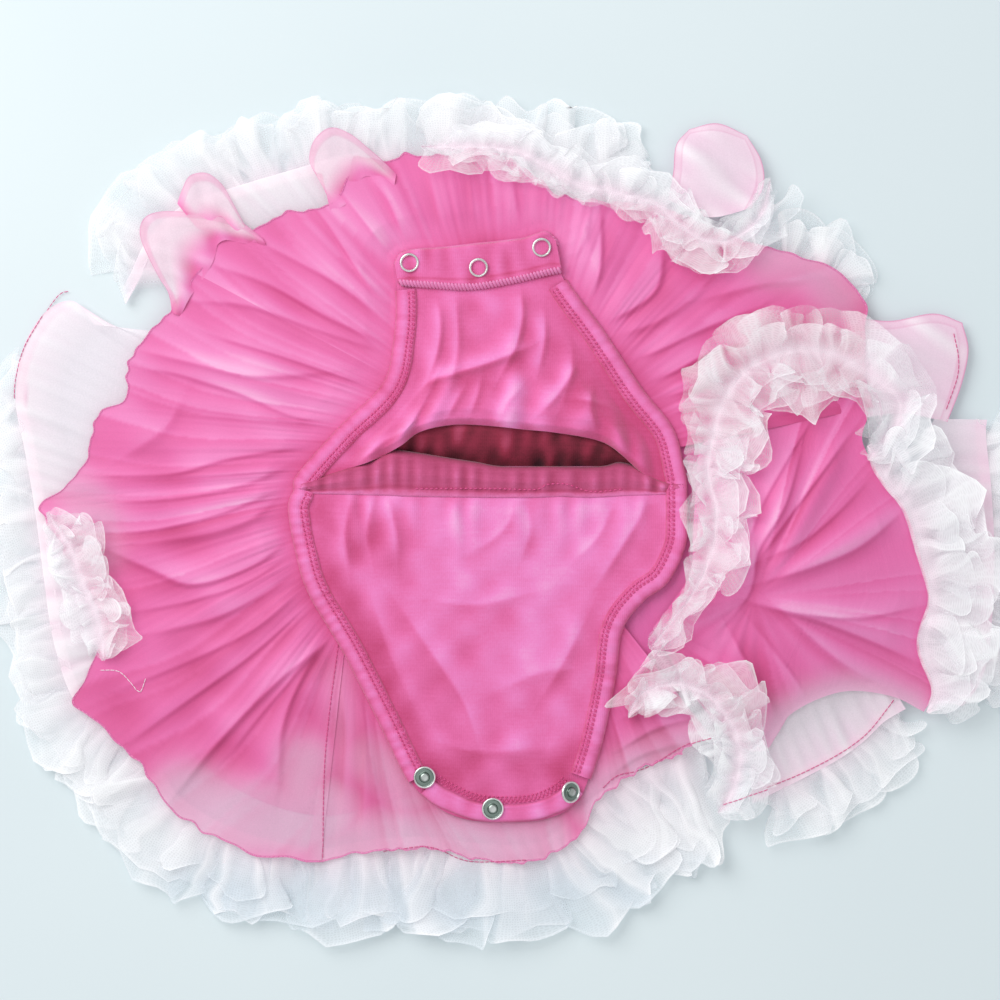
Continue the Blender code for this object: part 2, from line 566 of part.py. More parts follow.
def pleated_gore(name, pleats):
    """A gore of the lining with a pleat for each row, from under the bloomer's edge to the hem."""
    waist_column, hem_column, height_column = np.array(pleats).T
    place = np.linspace(0, len(pleats) - 1, (len(pleats) - 1) * PLEAT_STEPS + 1)
    number = np.arange(len(pleats))
    inner = polar_points(BLOOMER_EDGE, np.interp(place, number, waist_column), PANEL_OVER_LINING)
    outer = polar_points(LINING_HEM, np.interp(place, number, hem_column))
    crest = np.interp(place, number, height_column) * (0.5 + 0.5 * np.cos(2 * np.pi * place))
    length = np.hypot(*(outer - inner).T)
    start = PLEAT_START / length
    shares = start[:, None] + (1 - start[:, None]) * np.array([0.3, 0.65, 1.0])[None, :]
    shares = np.column_stack([np.zeros(len(place)), start, shares])
    grid = inner[:, None, :] + (outer - inner)[:, None, :] * shares[..., None]
    bloomer = polar_points(BLOOMER_EDGE, np.arange(0, 360, 1.5))
    rise = np.clip((distances(grid, bloomer).min(axis=2) - PLEAT_CLEAR) / PLEAT_RISE, 0, 1)
    fall = 1 - (1 - PLEAT_AT_HEM) * shares ** 2
    heights = lining_top(grid[..., 0], grid[..., 1]) + crest[:, None] * rise * fall
    laid_wall(name, lift(grid, heights), CHIFFON_WALL, "chiffon_bright")


def lining_side_fold():
    """The skirt's right side folded over on itself: a soft mound with ridges that meet in it."""
    columns, rows = 17, 15
    grid = four_sided(SIDE_FOLD_LEFT, SIDE_FOLD_RIGHT, SIDE_FOLD_LOW, SIDE_FOLD_HIGH, columns,
                      np.linspace(0, 1, rows))
    x, y = grid[..., 0], grid[..., 1]
    within = np.zeros((columns, rows))
    within[2:-2, 2:-2] = 1.0
    heights = lining_top(x, y) + ridges(SIDE_FOLD_RIDGES, x, y) * within
    laid_wall("lining_side_fold", lift(grid, heights), CHIFFON_WALL, "chiffon_bright")


# ---- Outer tier ----

def tier_band(name, hem, inner):
    """The outer tier between a stretch of its hem and where it goes in under the lining."""
    hem_line = hem[:, :2] - hem[:, 3:] * SEAM_GAP
    grid = between(hem_line, smooth_line(inner, len(hem)), [0, 0.5, 1])
    laid_wall(name, lift(grid, tier_top(grid[..., 0], grid[..., 1])), CHIFFON_WALL, "chiffon_pale")


def tier_patches():
    """The corner of the outer tier high on the right, and the loop that turns out at the top."""
    size = 6
    even = np.linspace(0, 1, size)
    corner = four_sided(TIER_CORNER_LEFT, TIER_CORNER_RIGHT, TIER_CORNER_LOW, TIER_CORNER_HIGH,
                        size, even)
    puff = TIER_CORNER_PUFF * np.sin(np.pi * even)[None, :] * even[:, None]
    heights = tier_top(corner[..., 0], corner[..., 1]) + puff
    laid_wall("tier_corner_right", lift(corner, heights), CHIFFON_WALL, "chiffon_pale")
    loop = four_sided(LOOP_LEFT, LOOP_RIGHT, LOOP_LOW, LOOP_HIGH, size, even)
    slope = LOOP_LOW_MID + (LOOP_HIGH_MID - LOOP_LOW_MID) * even[None, :] + CHIFFON_WALL / 2
    laid_wall("tier_loop_top", lift(loop, slope), CHIFFON_WALL, "chiffon_pale")


# ---- Net ruffles ----

def wave_places(waves):
    """How each of a ruffle's columns stands, from trough 0 to crest 1, and how uneven its crests are."""
    number = np.arange(waves * WAVE_STEPS + 1) / WAVE_STEPS
    crest = 0.5 + 0.5 * np.cos(2 * np.pi * number)
    return crest, 0.82 + 0.18 * np.sin(1.9 * number + waves)


def hem_ruffle(name, hem, waves, crest_height):
    """Net gathered on to the hem: flat at its seam, waving down to the table and up to its crests."""
    crest, uneven = wave_places(waves)
    width = hem[:, 2] * (0.96 + 0.04 * crest)
    offsets = SEAM_GAP + width[:, None] * np.array([0, 0.45, 1.0])[None, :]
    grid = hem[:, None, :2] + hem[:, None, 3:] * offsets[..., None]
    seam = tier_top(hem[:, 0], hem[:, 1]) - CHIFFON_WALL / 2
    trough = NET_WALL / 2
    heights = np.column_stack([
        seam,
        trough + (seam - trough) * crest,
        trough + (crest_height - trough) * crest * uneven,
    ])
    standing_wall(name, lift(grid, heights), NET_WALL, "net_white")


def turned_ruffle(name, rows, waves, under, allowance, rise):
    """Net along a turned-up hem: low on its sewn line, flaring up to both sides in turn."""
    crest, uneven = wave_places(waves)
    line = smooth_line(rows, len(crest))
    shares = np.array([[-1, -0.5, 0, 0.5, 1.0]])
    width = np.where(shares > 0, line[:, 2:3], line[:, 3:4])
    grid = line[:, None, :2] + outward(line, 2)[:, None, :] * (width * shares)[..., None]
    flare = np.where(shares > 0, crest[:, None], 1 - crest[:, None]) * uneven[:, None]
    heights = highest_near(under, grid[..., 0], grid[..., 1], RESTING_REACH) + allowance + NET_WALL / 2
    heights = heights + rise * np.abs(shares) * (0.25 + 0.75 * flare)
    standing_wall(name, lift(grid, heights), NET_WALL, "net_white")


def side_right_ruffle():
    """The ruffle that falls outwards from the folded side's right edge."""
    crest, uneven = wave_places(RUFFLE_SIDE_RIGHT_WAVES)
    line = smooth_line(RUFFLE_SIDE_RIGHT, len(crest))
    offsets = line[:, 2:3] * np.array([[0, 0.45, 1.0]])
    offsets[:, 0] = -line[:, 3]
    grid = line[:, None, :2] + outward(line, 6)[:, None, :] * offsets[..., None]
    heights = highest_near(lining_top, grid[..., 0], grid[..., 1], RESTING_REACH)
    heights = heights + SEAM_GAP + NET_WALL / 2
    heights = heights + np.column_stack([0 * crest, 3.0 * crest, 5.0 * crest * uneven])
    standing_wall("ruffle_side_right", lift(grid, heights), NET_WALL, "net_white")


# ---- Bloomer ----

def side_ease(grid, *sides):
    """0 under the leg hems at a panel's two sides, and 1 within."""
    edge = np.concatenate([smooth_line(side, 60) for side in sides])
    return np.clip((distances(grid, edge).min(axis=2) - HEM_WIDTH - SIDE_CLEAR) / HEM_WIDTH, 0, 1)


def gathers(columns, per_gather, shares, depth, reach):
    """Even little folds that leave a sewn edge and fade over a share of the panel's length."""
    wave = 0.5 + 0.5 * np.cos(2 * np.pi * np.arange(columns) / per_gather)
    return depth * wave[:, None] * np.exp(-(np.asarray(shares) / reach) ** 2)[None, :]


def front_panel():
    """The bloomer's front, from its gathered edge at the waist opening to its crotch end."""
    columns = FRONT_GATHERS * 3 + 1
    grid = four_sided(FRONT_LEFT[::-1], FRONT_RIGHT[::-1], FRONT_WAIST, FRONT_CROTCH, columns, FRONT_ROWS)
    x, y = grid[..., 0], grid[..., 1]
    before_facing = np.clip((0.8 - np.array(FRONT_ROWS)) / 0.1, 0, 1)
    folds = ridges(FRONT_RIDGES, x, y) * before_facing
    folds = folds + gathers(columns, 3, FRONT_ROWS, GATHER_DEPTH, 0.3)
    folds = folds + GATHER_HEIGHT * np.array(FRONT_EDGE_RISE)
    heights = panel_top(x, y) + folds * side_ease(grid, FRONT_LEFT, FRONT_RIGHT)
    laid_wall("front_panel", lift(grid, heights), COTTON_WALL, "cotton_jersey")


def back_panel():
    """The bloomer's back, from the waistband to its crotch end."""
    columns = BACK_GATHERS * 2 + 1
    grid = four_sided(BACK_LEFT, BACK_RIGHT, BACK_WAIST, BACK_CROTCH, columns, BACK_ROWS)
    x, y = grid[..., 0], grid[..., 1]
    folds = ridges(BACK_RIDGES, x, y) + gathers(columns, 2, BACK_ROWS, GATHER_DEPTH / 2, 0.12)
    before_crotch = np.clip((1 - np.array(BACK_ROWS)) / 0.15, 0, 1)
    heights = panel_top(x, y) + folds * side_ease(grid, BACK_LEFT, BACK_RIGHT) * before_crotch
    laid_wall("back_panel", lift(grid, heights), COTTON_WALL, "cotton_jersey")


def leg_hems():
    """The turned hems of both leg openings, in a front and a back length each."""
    for name, side, shares, inward_sign in LEG_HEMS:
        line = smooth_line(side, np.linspace(*shares, LEG_HEM_STEPS))
        offsets = np.array([HEM_INSET, HEM_WIDTH / 2, HEM_WIDTH])
        grid = line[:, None, :] + inward_sign * outward(line, 1)[:, None, :] * offsets[None, :, None]
        laid_wall(name, lift(grid, trim_top(grid[..., 0], grid[..., 1])), COTTON_WALL, "cotton_jersey")


def crotch_trims():
    """The back's turned crotch hem, and the front's facing with its thick overlocked edge."""
    hem = between(smooth_line(CROTCH_HEM_OUTER, 11), smooth_line(CROTCH_HEM_INNER, 11), [0, 0.5, 1])
    heights = trim_top(hem[..., 0], hem[..., 1])
    laid_wall("crotch_hem_back", lift(hem, heights), COTTON_WALL, "cotton_jersey")
    shares = [0, 0.12, 0.2, 0.6, 1.0]
    facing = four_sided(FACING_LEFT[::-1], FACING_RIGHT[::-1], FACING_LOW, FACING_CROTCH, 13, shares)
    roll = np.array([0.6, 1.0, 0.0, 0.0, 0.0])[None, :]
    heights = trim_top(facing[..., 0], facing[..., 1]) + roll
    laid_wall("crotch_facing_front", lift(facing, heights), COTTON_WALL, "cotton_jersey")


def waistbands():
    """The elastic casing: its back length lies gathered, its front hangs down into the waist opening."""
    columns = BAND_BACK_GATHERS * 3 + 1
    low, waist = smooth_line(BAND_BACK_LOW, columns), smooth_line(BAND_BACK_WAIST, columns)
    back = between(low, waist, [0, 0.5, 1])
    wave = 0.5 + 0.5 * np.cos(2 * np.pi * np.arange(columns) / 3)
    puff = GATHER_DEPTH * wave[:, None] * np.array([0.4, 1.0, 0.4])[None, :]
    laid_wall("waistband_back", lift(back, panel_top(back[..., 0], back[..., 1]) + puff), COTTON_WALL,
              "cotton_jersey")
    front = between(smooth_line(BAND_FRONT_HIGH, 13), smooth_line(BAND_FRONT_LOW, 13), [0, 0.5, 1])
    heights = lining_top(front[..., 0], front[..., 1])
    heights[:, -1] = BAND_DIP
    laid_wall("waistband_front", lift(front, heights), CHIFFON_WALL, "cotton_shaded")


# ---- Snaps ----

def seat_round(thing, x, y, radius, tilt=0.0):
    """Stand a round piece on the trim below it, turned about its own Y axis by the tilt."""
    base = float(highest_near(trim_top, x, y, radius)) + SEAM_GAP + radius * math.sin(tilt)
    thing.location = (x * MM, y * MM, base * MM)
    thing.rotation_euler = (0, tilt, 0)


def snaps():
    """Three open socket rings on the front's facing, and three studs on the back's crotch hem."""
    outer, inner = SNAP_RING / 2, SNAP_RING / 2 - SNAP_RING_WIRE
    middle = (outer + inner) / 2
    ring = [(outer, 0.0), (outer, SNAP_RING_HEIGHT * 0.6), (middle, SNAP_RING_HEIGHT),
            (inner, SNAP_RING_HEIGHT * 0.6), (inner, 0.0)]
    for name, x, y in SNAP_SOCKETS:
        seat_round(turned_piece("snap_socket_" + name, ring, True, "nickel"), x, y, outer)
    for name, x, y, tilt in SNAP_STUDS:
        stud = turned_piece("snap_stud_" + name, STUD_PROFILE, False, "nickel")
        seat_round(stud, x, y, SNAP_STUD / 2, tilt)


# ---- The whole ----

def centre_on_table():
    """Move everything so that the middle of the whole box stands over the origin."""
    bpy.context.view_layer.update()
    corners = []
    for thing in bpy.data.objects:
        corners += [thing.matrix_world @ vertex.co for vertex in thing.data.vertices]
    corners = np.array([tuple(corner) for corner in corners])
    middle = (corners.min(axis=0) + corners.max(axis=0)) / 2
    for thing in bpy.data.objects:
        thing.location.x -= middle[0]
        thing.location.y -= middle[1]
        thing.location.z -= corners[:, 2].min()


def build():
    clear_scene()
    under_tiers()
    pleated_gore("lining_front", FRONT_PLEATS)
    pleated_gore("lining_back", BACK_PLEATS)
    lining_side_fold()
    for name, hem, first, last, inner, columns in TIER_BANDS:
        tier_band(name, stretch(hem, first, last, columns), inner)
    tier_patches()
    for name, hem, first, last, waves, crest in HEM_RUFFLES:
        hem_ruffle(name, stretch(hem, first, last, waves * WAVE_STEPS + 1), waves, crest)
    side_right_ruffle()
    for name, rows, waves, under, allowance, rise in TURNED_RUFFLES:
        turned_ruffle(name, rows, waves, under, allowance, rise)
    front_panel()
    back_panel()
    leg_hems()
    crotch_trims()
    waistbands()
    snaps()
    centre_on_table()


TIER_BANDS = [
    # name, hem, first row, last row, inner edge, columns
    ("tier_left", HEM_BELOW, 0, 9, TIER_LEFT_INNER, 18),
    ("tier_top_left", HEM_ABOVE, 8, 15, TIER_TOP_LEFT_INNER, 13),
    ("tier_low_right", HEM_LOW_RIGHT, 0, 6, TIER_LOW_RIGHT_INNER, 9),
    ("tier_right", HEM_RIGHT, 0, 5, TIER_RIGHT_INNER, 9),
]
HEM_RUFFLES = [
    # name, hem, first row, last row, waves, crest height
    ("ruffle_top_right", HEM_TOP_RIGHT, 0, 3, 3, 6.5),
    ("ruffle_top", HEM_ABOVE, 0, 7, 7, 8.0),
    ("ruffle_top_left", HEM_ABOVE, 7, 15, 7, 4.4),
    ("ruffle_left", HEM_BELOW, 0, 9, 9, 6.5),
    ("ruffle_bottom_left", HEM_BELOW, 9, 15, 6, 8.0),
    ("ruffle_bottom", HEM_BELOW, 15, 20, 6, 9.0),
    ("ruffle_bottom_right", HEM_BELOW, 20, 25, 6, 9.0),
    ("ruffle_low_right", HEM_LOW_RIGHT, 0, 6, 6, 7.0),
    ("ruffle_right", HEM_RIGHT, 0, 5, 6, 6.5),
]
TURNED_RUFFLES = [
    # name, rows, waves, what it lies on, allowance for pleats, flare
    ("ruffle_side_left", RUFFLE_SIDE_LEFT, 14, side_fold_top, 0.6, 6.0),
    ("ruffle_fold_low", RUFFLE_FOLD_LOW, 6, side_fold_top, 2.4, 5.0),
    ("ruffle_top_turned", RUFFLE_TOP_TURNED, 9, lining_top, 3.6, 5.0),
    ("ruffle_left_turned", RUFFLE_LEFT_TURNED, 5, lining_top, 2.4, 5.0),
]
LEG_HEMS = [
    # name, panel side, share of its length from and to, which way is inwards
    ("leg_hem_left_front", FRONT_LEFT, (0.11, 0.985), -1),
    ("leg_hem_right_front", FRONT_RIGHT, (0.155, 0.985), 1),
    ("leg_hem_left_back", BACK_LEFT, (0.012, 0.925), -1),
    ("leg_hem_right_back", BACK_RIGHT, (0.012, 0.93), 1),
]

build()
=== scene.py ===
"""Looks of a baby's tutu skirt with a snap bloomer, laid flat with its inside up and its crotch open.

Sizes are in millimetres, in the plan that the solids were drawn in, until a mesh is made. Chiffon and
net are thin sheets on the solids' forms, jersey has a wall, and thread and snaps are pieces of their own.

In a sum of heights the number before a fold is how much of it shows, in millimetres. In a sum of tones it
is a share of the colour's range, from its deepest to its lightest. Tones hold the cloth's own uneven colour
and also painted light: highlights painted on crests and gathers, and shade painted in folds and grooves.
"""

import math

import bpy
import numpy as np
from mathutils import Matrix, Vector


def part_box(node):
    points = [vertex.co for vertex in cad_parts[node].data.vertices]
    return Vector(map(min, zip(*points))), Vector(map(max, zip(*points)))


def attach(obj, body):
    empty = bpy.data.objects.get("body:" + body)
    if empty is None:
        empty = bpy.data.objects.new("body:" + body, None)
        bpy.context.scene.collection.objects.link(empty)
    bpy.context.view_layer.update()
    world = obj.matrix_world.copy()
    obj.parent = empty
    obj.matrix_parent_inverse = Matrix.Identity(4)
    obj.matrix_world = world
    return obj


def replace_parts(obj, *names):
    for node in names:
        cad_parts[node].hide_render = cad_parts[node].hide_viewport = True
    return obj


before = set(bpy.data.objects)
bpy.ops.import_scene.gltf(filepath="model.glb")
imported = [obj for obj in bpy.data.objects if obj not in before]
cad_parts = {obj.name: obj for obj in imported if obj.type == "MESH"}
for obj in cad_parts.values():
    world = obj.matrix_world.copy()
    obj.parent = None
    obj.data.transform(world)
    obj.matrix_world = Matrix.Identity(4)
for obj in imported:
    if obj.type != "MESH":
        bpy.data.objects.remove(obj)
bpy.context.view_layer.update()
bpy.ops.object.select_all(action="DESELECT")

MM = 0.001
# The middle socket ties the plan that pieces are drawn in to the frame that they stand in
PLAN_SOCKET = (-16, 121.5)
socket_low, socket_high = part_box("snap_socket_middle")
SHIFT = np.array([(socket_low[0] + socket_high[0]) / 2 / MM - PLAN_SOCKET[0],
                  (socket_low[1] + socket_high[1]) / 2 / MM - PLAN_SOCKET[1], 0.0])

# ---- Sizes shared with the solids ----
CHIFFON_WALL = 1.2
COTTON_WALL = 1.5
SEAM_GAP = 0.3
HIDDEN_GAP = 0.5
TIER_GAP = 0.4
HEAP_RIM = 4.7
HEM_WIDTH = 9.0
PANEL_OVER_LINING = 4.0
PLEAT_CLEAR = 4.0
PLEAT_RISE = 12.0
GATHER_HEIGHT = 4.0
SLOT_FRONT_Y = 40.0
SLOT_BACK_Y = 24.0
SLOT_LEFT_X = -55.0
SLOT_RIGHT_X = 54.0
WAIST_X, WAIST_Y = -13, 19.5
SIDE_CLEAR = 4.5
RESTING_REACH = 5.0
HEM_STEPS = 3000            # points on a hem's smooth curve
SPAN_STEPS = 12             # the same from one given point of a line to the next
EDGE_STEPS = 1500           # the same on an edge round the waist's middle

# ---- Sizes of the cloth itself ----
PANEL_THICK = 1.2
FACING_THICK = 0.9
CASING_THICK = 1.0
TABLE_CLEAR = 0.3           # the lowest that cloth lies over the table
TIER_CLEAR = 0.4            # the lowest that the outer tier and the net's layers do
HIDDEN_SINK = 1.0           # how far the hidden tiers stay under their own top, for the cloth above
SHARED_PLEAT = 13           # front pleat at which the left gore ends and the top one starts
CUTS_APART = 700            # between a piece's grids in its UVs, so that no two have the same streaks
SNAP_SIDES = 48
RING_BLANK = (4.75, 0.5)    # radius and thickness of the sheet that a snap is pressed from
STUD_BLANK = (5.5, 0.8)
RING_ROUNDING = 0.12
STUD_ROUNDING = 0.14
STUD_SINK = 0.9             # how far the stud's plate is under the middle of its height
RING_STEPS = [(0.35, 0.35), (0.40, 0.05), (0.35, -0.35), (0.25, -0.35)]     # inward, upward
STUD_STEPS = [(0.35, 0.45), (0.45, 0.05), (0.40, -0.55), (1.60, -0.15), (0.25, 0.35), (0.15, 0.80),
              (0.35, 0.30), (0.50, 0.15)]
STUD_DISH = (1.6, 4.35)     # inner and outer radius of the dish: tarnish and a painted dark reflection
FOLD_CENTRE = (119, -39.5)  # where the side fold's creases meet
FOLD_STEPS = 20             # columns in each fold of net
NET_COLUMNS = 900           # points along a hem that its ruffle is laid out on
NET_TUCK = 4.0              # how far the net runs in under its seam
NET_ALLOWANCE = 2.5         # how much wider it is cut than it shows
NET_TAPER = 14.0            # length over which a ruffle's folds die out at its ends
FLAT_LAYERS = [(1.0, 1.25), (0.95, 0.95), (0.80, 0.75)]     # a layer's share of the width and of the fold
TURNED_LAYERS = [(1.06, 1.25), (0.92, 0.85), (0.62, 0.65)]
CRISP_EDGE = [0.97, 0.985, 1.0]     # last rows of a net's grid, close together for its cut edge
OPENING_LEVEL = 7.0         # height at which the front casing goes down into the opening
PATCH_WIDTH = 55.0          # about how wide the outer tier's corner and loop are
SEAM_INSET = 6.6            # from a leg hem's line to the middle of its stitches
CROTCH_SEAM_INSET = 2.4     # the same from the crotch hem's inner line, outwards
ABOVE_ALL = 100.0           # where the search for the cloth below a stitch starts
BARE_TABLE = 0.5            # where a stitch lies if there is none
NEEDLE_SIDES = (-1.3, 1.3)  # two needle rows, each side of that middle
# Radii of threads, drawn up to three times as thick as they are so that a stitch shows
NEEDLE_THREAD = 0.38
WAIST_THREAD = 0.36
FINE_THREAD = 0.24
ROLLED_HEM_THREAD = 0.22
WOOLLY_THREAD = 0.90        # a bundle of overlock threads, as thick as it looks
SNAPS = {"left": 0.0, "middle": 0.0, "right": math.radians(35)}     # how far each stud leans

# Soft heaps in the gathered tiers
HEAPS = [  # x, y, height, reach_x, reach_y
    (-10.5, 22, 9, 95, 85), (130, -29.5, 15, 66, 64),
]

# Edge of the hidden tiers round the waist's middle
UNDER_TIER_EDGE = [  # angle, radius
    (0, 178), (14, 165), (25, 170), (35, 165), (45, 150), (55, 138), (65, 128), (75, 124), (85, 133),
    (95, 138), (105, 138), (115, 131), (125, 136), (135, 148), (145, 158), (155, 156), (165, 158),
    (175, 170), (185, 184), (195, 180), (205, 184), (215, 198), (225, 200), (235, 196), (245, 186),
    (255, 166), (265, 160), (275, 165), (285, 156), (295, 143), (305, 144), (315, 146), (322, 158),
    (330, 188), (337, 203), (345, 206), (352, 194), (360, 178),
]

# Edge of the bloomer round the waist's middle
BLOOMER_EDGE = [  # angle, radius
    (0, 97), (14, 94), (29, 88), (40, 87), (52, 91), (60, 96), (65, 100), (69, 107), (72, 116), (76, 124),
    (82, 118), (92, 114), (99, 114), (108, 117), (113, 115), (116, 97), (123, 79), (132, 69), (146, 68),
    (156, 71), (168, 79), (180, 90), (190, 97), (200, 99), (215, 103), (226, 106), (231, 110), (236, 114),
    (240, 119), (244, 125), (248, 132), (252, 142), (256, 152), (262, 166), (269, 171), (277, 172),
    (284, 169), (288, 158), (293, 144), (298, 128), (304, 112), (309, 104), (313, 100), (321, 98),
    (330, 102), (340, 102), (353, 99), (360, 97),
]

# Hem of the lining round the waist's middle, but for the stretch high on the left
LINING_HEM = [  # angle, radius
    (0, 200), (14, 194), (25, 206), (31, 199), (35, 189), (42, 173), (50, 164), (59, 156), (67, 147),
    (75, 143), (79, 148), (85, 156), (91, 161), (98, 159), (103, 163), (162, 184), (168, 181), (171, 193),
    (178, 197), (182, 209), (184, 220), (189, 212), (198, 202), (203, 206), (207, 221), (209, 232),
    (213, 226), (221, 222), (226, 226), (231, 224), (237, 220), (242, 214), (247, 207), (253, 194),
    (262, 186), (268, 189), (277, 192), (285, 183), (289, 170), (298, 164), (305, 168), (311, 169),
    (360, 200),
]

# Pleats of the front lining, from the side seam low on the left, clockwise
FRONT_PLEATS = [  # waist_angle, hem_angle, height
    (229, 247, 1), (226, 234, 4.5), (219, 225, 3.5), (211, 216, 4), (204, 207, 3), (197, 199, 4),
    (190, 192, 3), (184, 186, 4.5), (177, 181, 5), (169, 175, 3), (160, 168, 3.5), (150, 161, 5),
    (141, 153, 3), (133, 145, 4), (126, 137, 3), (119, 127, 3.5), (112, 117, 4), (104, 107, 3.5),
    (95, 97, 3), (86, 88, 3), (76, 78, 3), (67, 69, 3), (59, 61, 5), (51, 52, 6), (43, 45, 3),
    (34, 36, 2), (24, 25, 1), (15, 14.5, 0.6), (8, 10, 0.3),
]

# Pleats of the back lining, from the same seam, anticlockwise
BACK_PLEATS = [  # waist_angle, hem_angle, height
    (227.6, 245.2, 1), (236, 254, 3.5), (245, 260, 2.5), (256, 267, 2), (268, 274, 2), (279, 280, 2),
    (288, 286, 2.5), (295, 292, 3), (301, 298, 3.5), (307, 304, 3), (313, 311, 1),
]

# The lining's folded side: its outline in four sides, and the ridges on it
SIDE_FOLD_LEFT = [(69.5, -55.5), (79.5, -42), (88, -27), (89, -7.5), (90.5, 12.5), (92, 32)]
SIDE_FOLD_RIGHT = [
    (203.5, -97), (208.5, -86), (200.5, -61.5), (206.5, -41), (200.5, -17), (194, 3.5), (183.5, 17),
    (173, 36), (176, 50.5), (171, 59.5),
]
SIDE_FOLD_LOW = [
    (69.5, -55.5), (88, -86), (108, -110), (125, -116), (137.5, -98), (162, -87), (186.5, -89),
    (203.5, -97),
]
SIDE_FOLD_HIGH = [(92, 32), (99, 39), (117.5, 45), (142.5, 52), (171, 59.5)]
SIDE_FOLD_RIDGES = [  # x0, y0, x1, y1, half_width, height
    (168.5, 43, 123.5, -34.5, 5, 5), (140, 32, 122.5, -27, 6, 4.5), (118, -12.5, 93, -64, 7, 5),
    (194, 5, 118.5, -38, 7, 4.5), (204, -56.5, 115.5, -42, 8, 4), (104, -51.5, 133.5, -108.5, 5, 4.5),
    (127.5, -42, 173, -86, 7, 3),
]

# Stretches of the hem, anticlockwise: the line where the net ruffle is sewn on, and the ruffle's width
HEM_TOP_RIGHT = [  # x, y, width
    (175, 103.5, 16), (158.5, 120.5, 17.5), (142.5, 125.5, 19.5), (126.5, 130.5, 19.5),
]
HEM_ABOVE = [  # x, y, width
    (70.5, 148.5, 37.5), (47, 153, 39.5), (29, 158.5, 37.5), (12.5, 165.5, 34.5), (-3, 171.5, 31.5),
    (-16.5, 176, 29.5), (-35, 175, 29.5), (-52.5, 175, 28.5), (-66.5, 178, 27.5), (-84, 176, 28.5),
    (-109, 169, 30.5), (-136, 161, 32.5), (-160.5, 152.5, 32.5), (-178, 136.5, 29.5),
    (-187.5, 117.5, 23.5), (-194, 106, 16),
]
HEM_BELOW = [  # x, y, width
    (-206.5, 93, 8), (-216.5, 104.5, 10), (-229.5, 99, 11), (-240, 81.5, 12), (-243.5, 56.5, 12.5),
    (-239, 32, 16.5), (-234, 2.5, 21), (-229.5, -32, 24.5), (-225, -61.5, 25.5), (-215.5, -90, 28.5),
    (-201, -104, 31.5), (-179, -123.5, 34.5), (-168, -140.5, 35.5), (-151, -152.5, 35.5),
    (-132, -161, 36.5), (-111, -166.5, 38.5), (-91.5, -168.5, 38.5), (-69.5, -164.5, 39.5),
    (-40, -163, 39.5), (-17.5, -166, 38.5), (11.5, -166.5, 37.5), (28, -157, 43.5), (44, -142, 48.5),
    (63.5, -130, 47.5), (81.5, -121.5, 44.5), (95, -113, 37.5),
]
HEM_LOW_RIGHT = [  # x, y, width
    (118.5, -141.5, 24.5), (128.5, -136.5, 27), (142.5, -129.5, 30.5), (159.5, -120.5, 30.5),
    (173, -111, 29.5), (183.5, -101, 26.5), (194.5, -94.5, 24.5),
]
HEM_RIGHT = [  # x, y, width
    (222, -94, 15), (231, -81.5, 16.5), (235.5, -61.5, 17.5), (237.5, -22, 18), (236, 12.5, 18),
    (233.5, 38, 17.5), (234, 47.5, 17),
]

# Inner edges of the outer tier, hidden under the lining
TIER_LEFT_INNER = [
    (-178, 91), (-177, 76.5), (-179, 57.5), (-190, 47), (-196.5, 37), (-200, 24.5), (-206.5, 7.5),
    (-202.5, -15), (-196.5, -42), (-193.5, -61.5), (-202.5, -79.5),
]
TIER_TOP_LEFT_INNER = [
    (-62, 162), (-79.5, 148.5), (-101.5, 141.5), (-121, 133), (-141, 130.5), (-158, 118), (-164, 106),
]
TIER_LOW_RIGHT_INNER = [(117.5, -125.5), (127.5, -108.5), (142.5, -92), (164.5, -83), (186.5, -82.5)]
TIER_RIGHT_INNER = [(206.5, -91), (201.5, -61.5), (200.5, -22), (199.5, 7.5), (203.5, 36), (209, 47.5)]

# The outer tier's corner high on the right, and the loop of it that turns out at the top
TIER_CORNER_LEFT = [(173, 48), (170, 64), (168, 81.5), (172, 97)]
TIER_CORNER_RIGHT = [(215.5, 46), (222.5, 64), (226, 81.5), (223, 95)]
TIER_CORNER_LOW = [(173, 48), (194, 50), (215.5, 46)]
TIER_CORNER_HIGH = [(172, 97), (189, 96), (209, 99.5), (223, 95)]
LOOP_LEFT = [(77.5, 155), (80, 169), (81.5, 182.5), (88, 190.5)]
LOOP_RIGHT = [(118.5, 151), (124.5, 162.5), (123.5, 175), (116.5, 187.5)]
LOOP_LOW = [(77.5, 155), (97, 146.5), (118.5, 151)]
LOOP_HIGH = [(88, 190.5), (102, 193.5), (116.5, 187.5)]
LOOP_LOW_MID = 10.2         # middle of the loop's wall at its root and at its tip
LOOP_HIGH_MID = 4.0

# Ruffles on hems that are turned up over the skirt: the sewn line, and the net's width to each side
RUFFLE_SIDE_RIGHT = [  # x, y, outward, inward
    (204.5, -97, 23.5, 2), (208.5, -85, 25.5, 2), (202.5, -62.5, 29.5, 3), (207, -41, 27.5, 2),
    (201.5, -17, 30.5, 3), (195, 3.5, 31.5, 3), (184.5, 17, 29.5, 3), (175, 34, 25.5, 4),
]
RUFFLE_SIDE_LEFT = [  # x, y, outward, inward
    (175, 27, 12, 12), (183, 36, 14, 13), (190, 46, 14, 14), (189, 58, 15, 16), (178, 68, 18, 21),
    (167, 75.5, 19, 24), (150, 81.5, 20, 27), (131.5, 79.5, 20, 25), (115.5, 71.5, 20, 21),
    (104, 56.5, 17.5, 22.5), (99, 39, 13, 20.5), (96, 22, 9, 16), (100, 3.5, 12, 13), (98, -16.5, 9, 14),
    (90, -36, 6.5, 9), (79.5, -50.5, 6, 7.5), (68.5, -65.5, 7, 7),
]
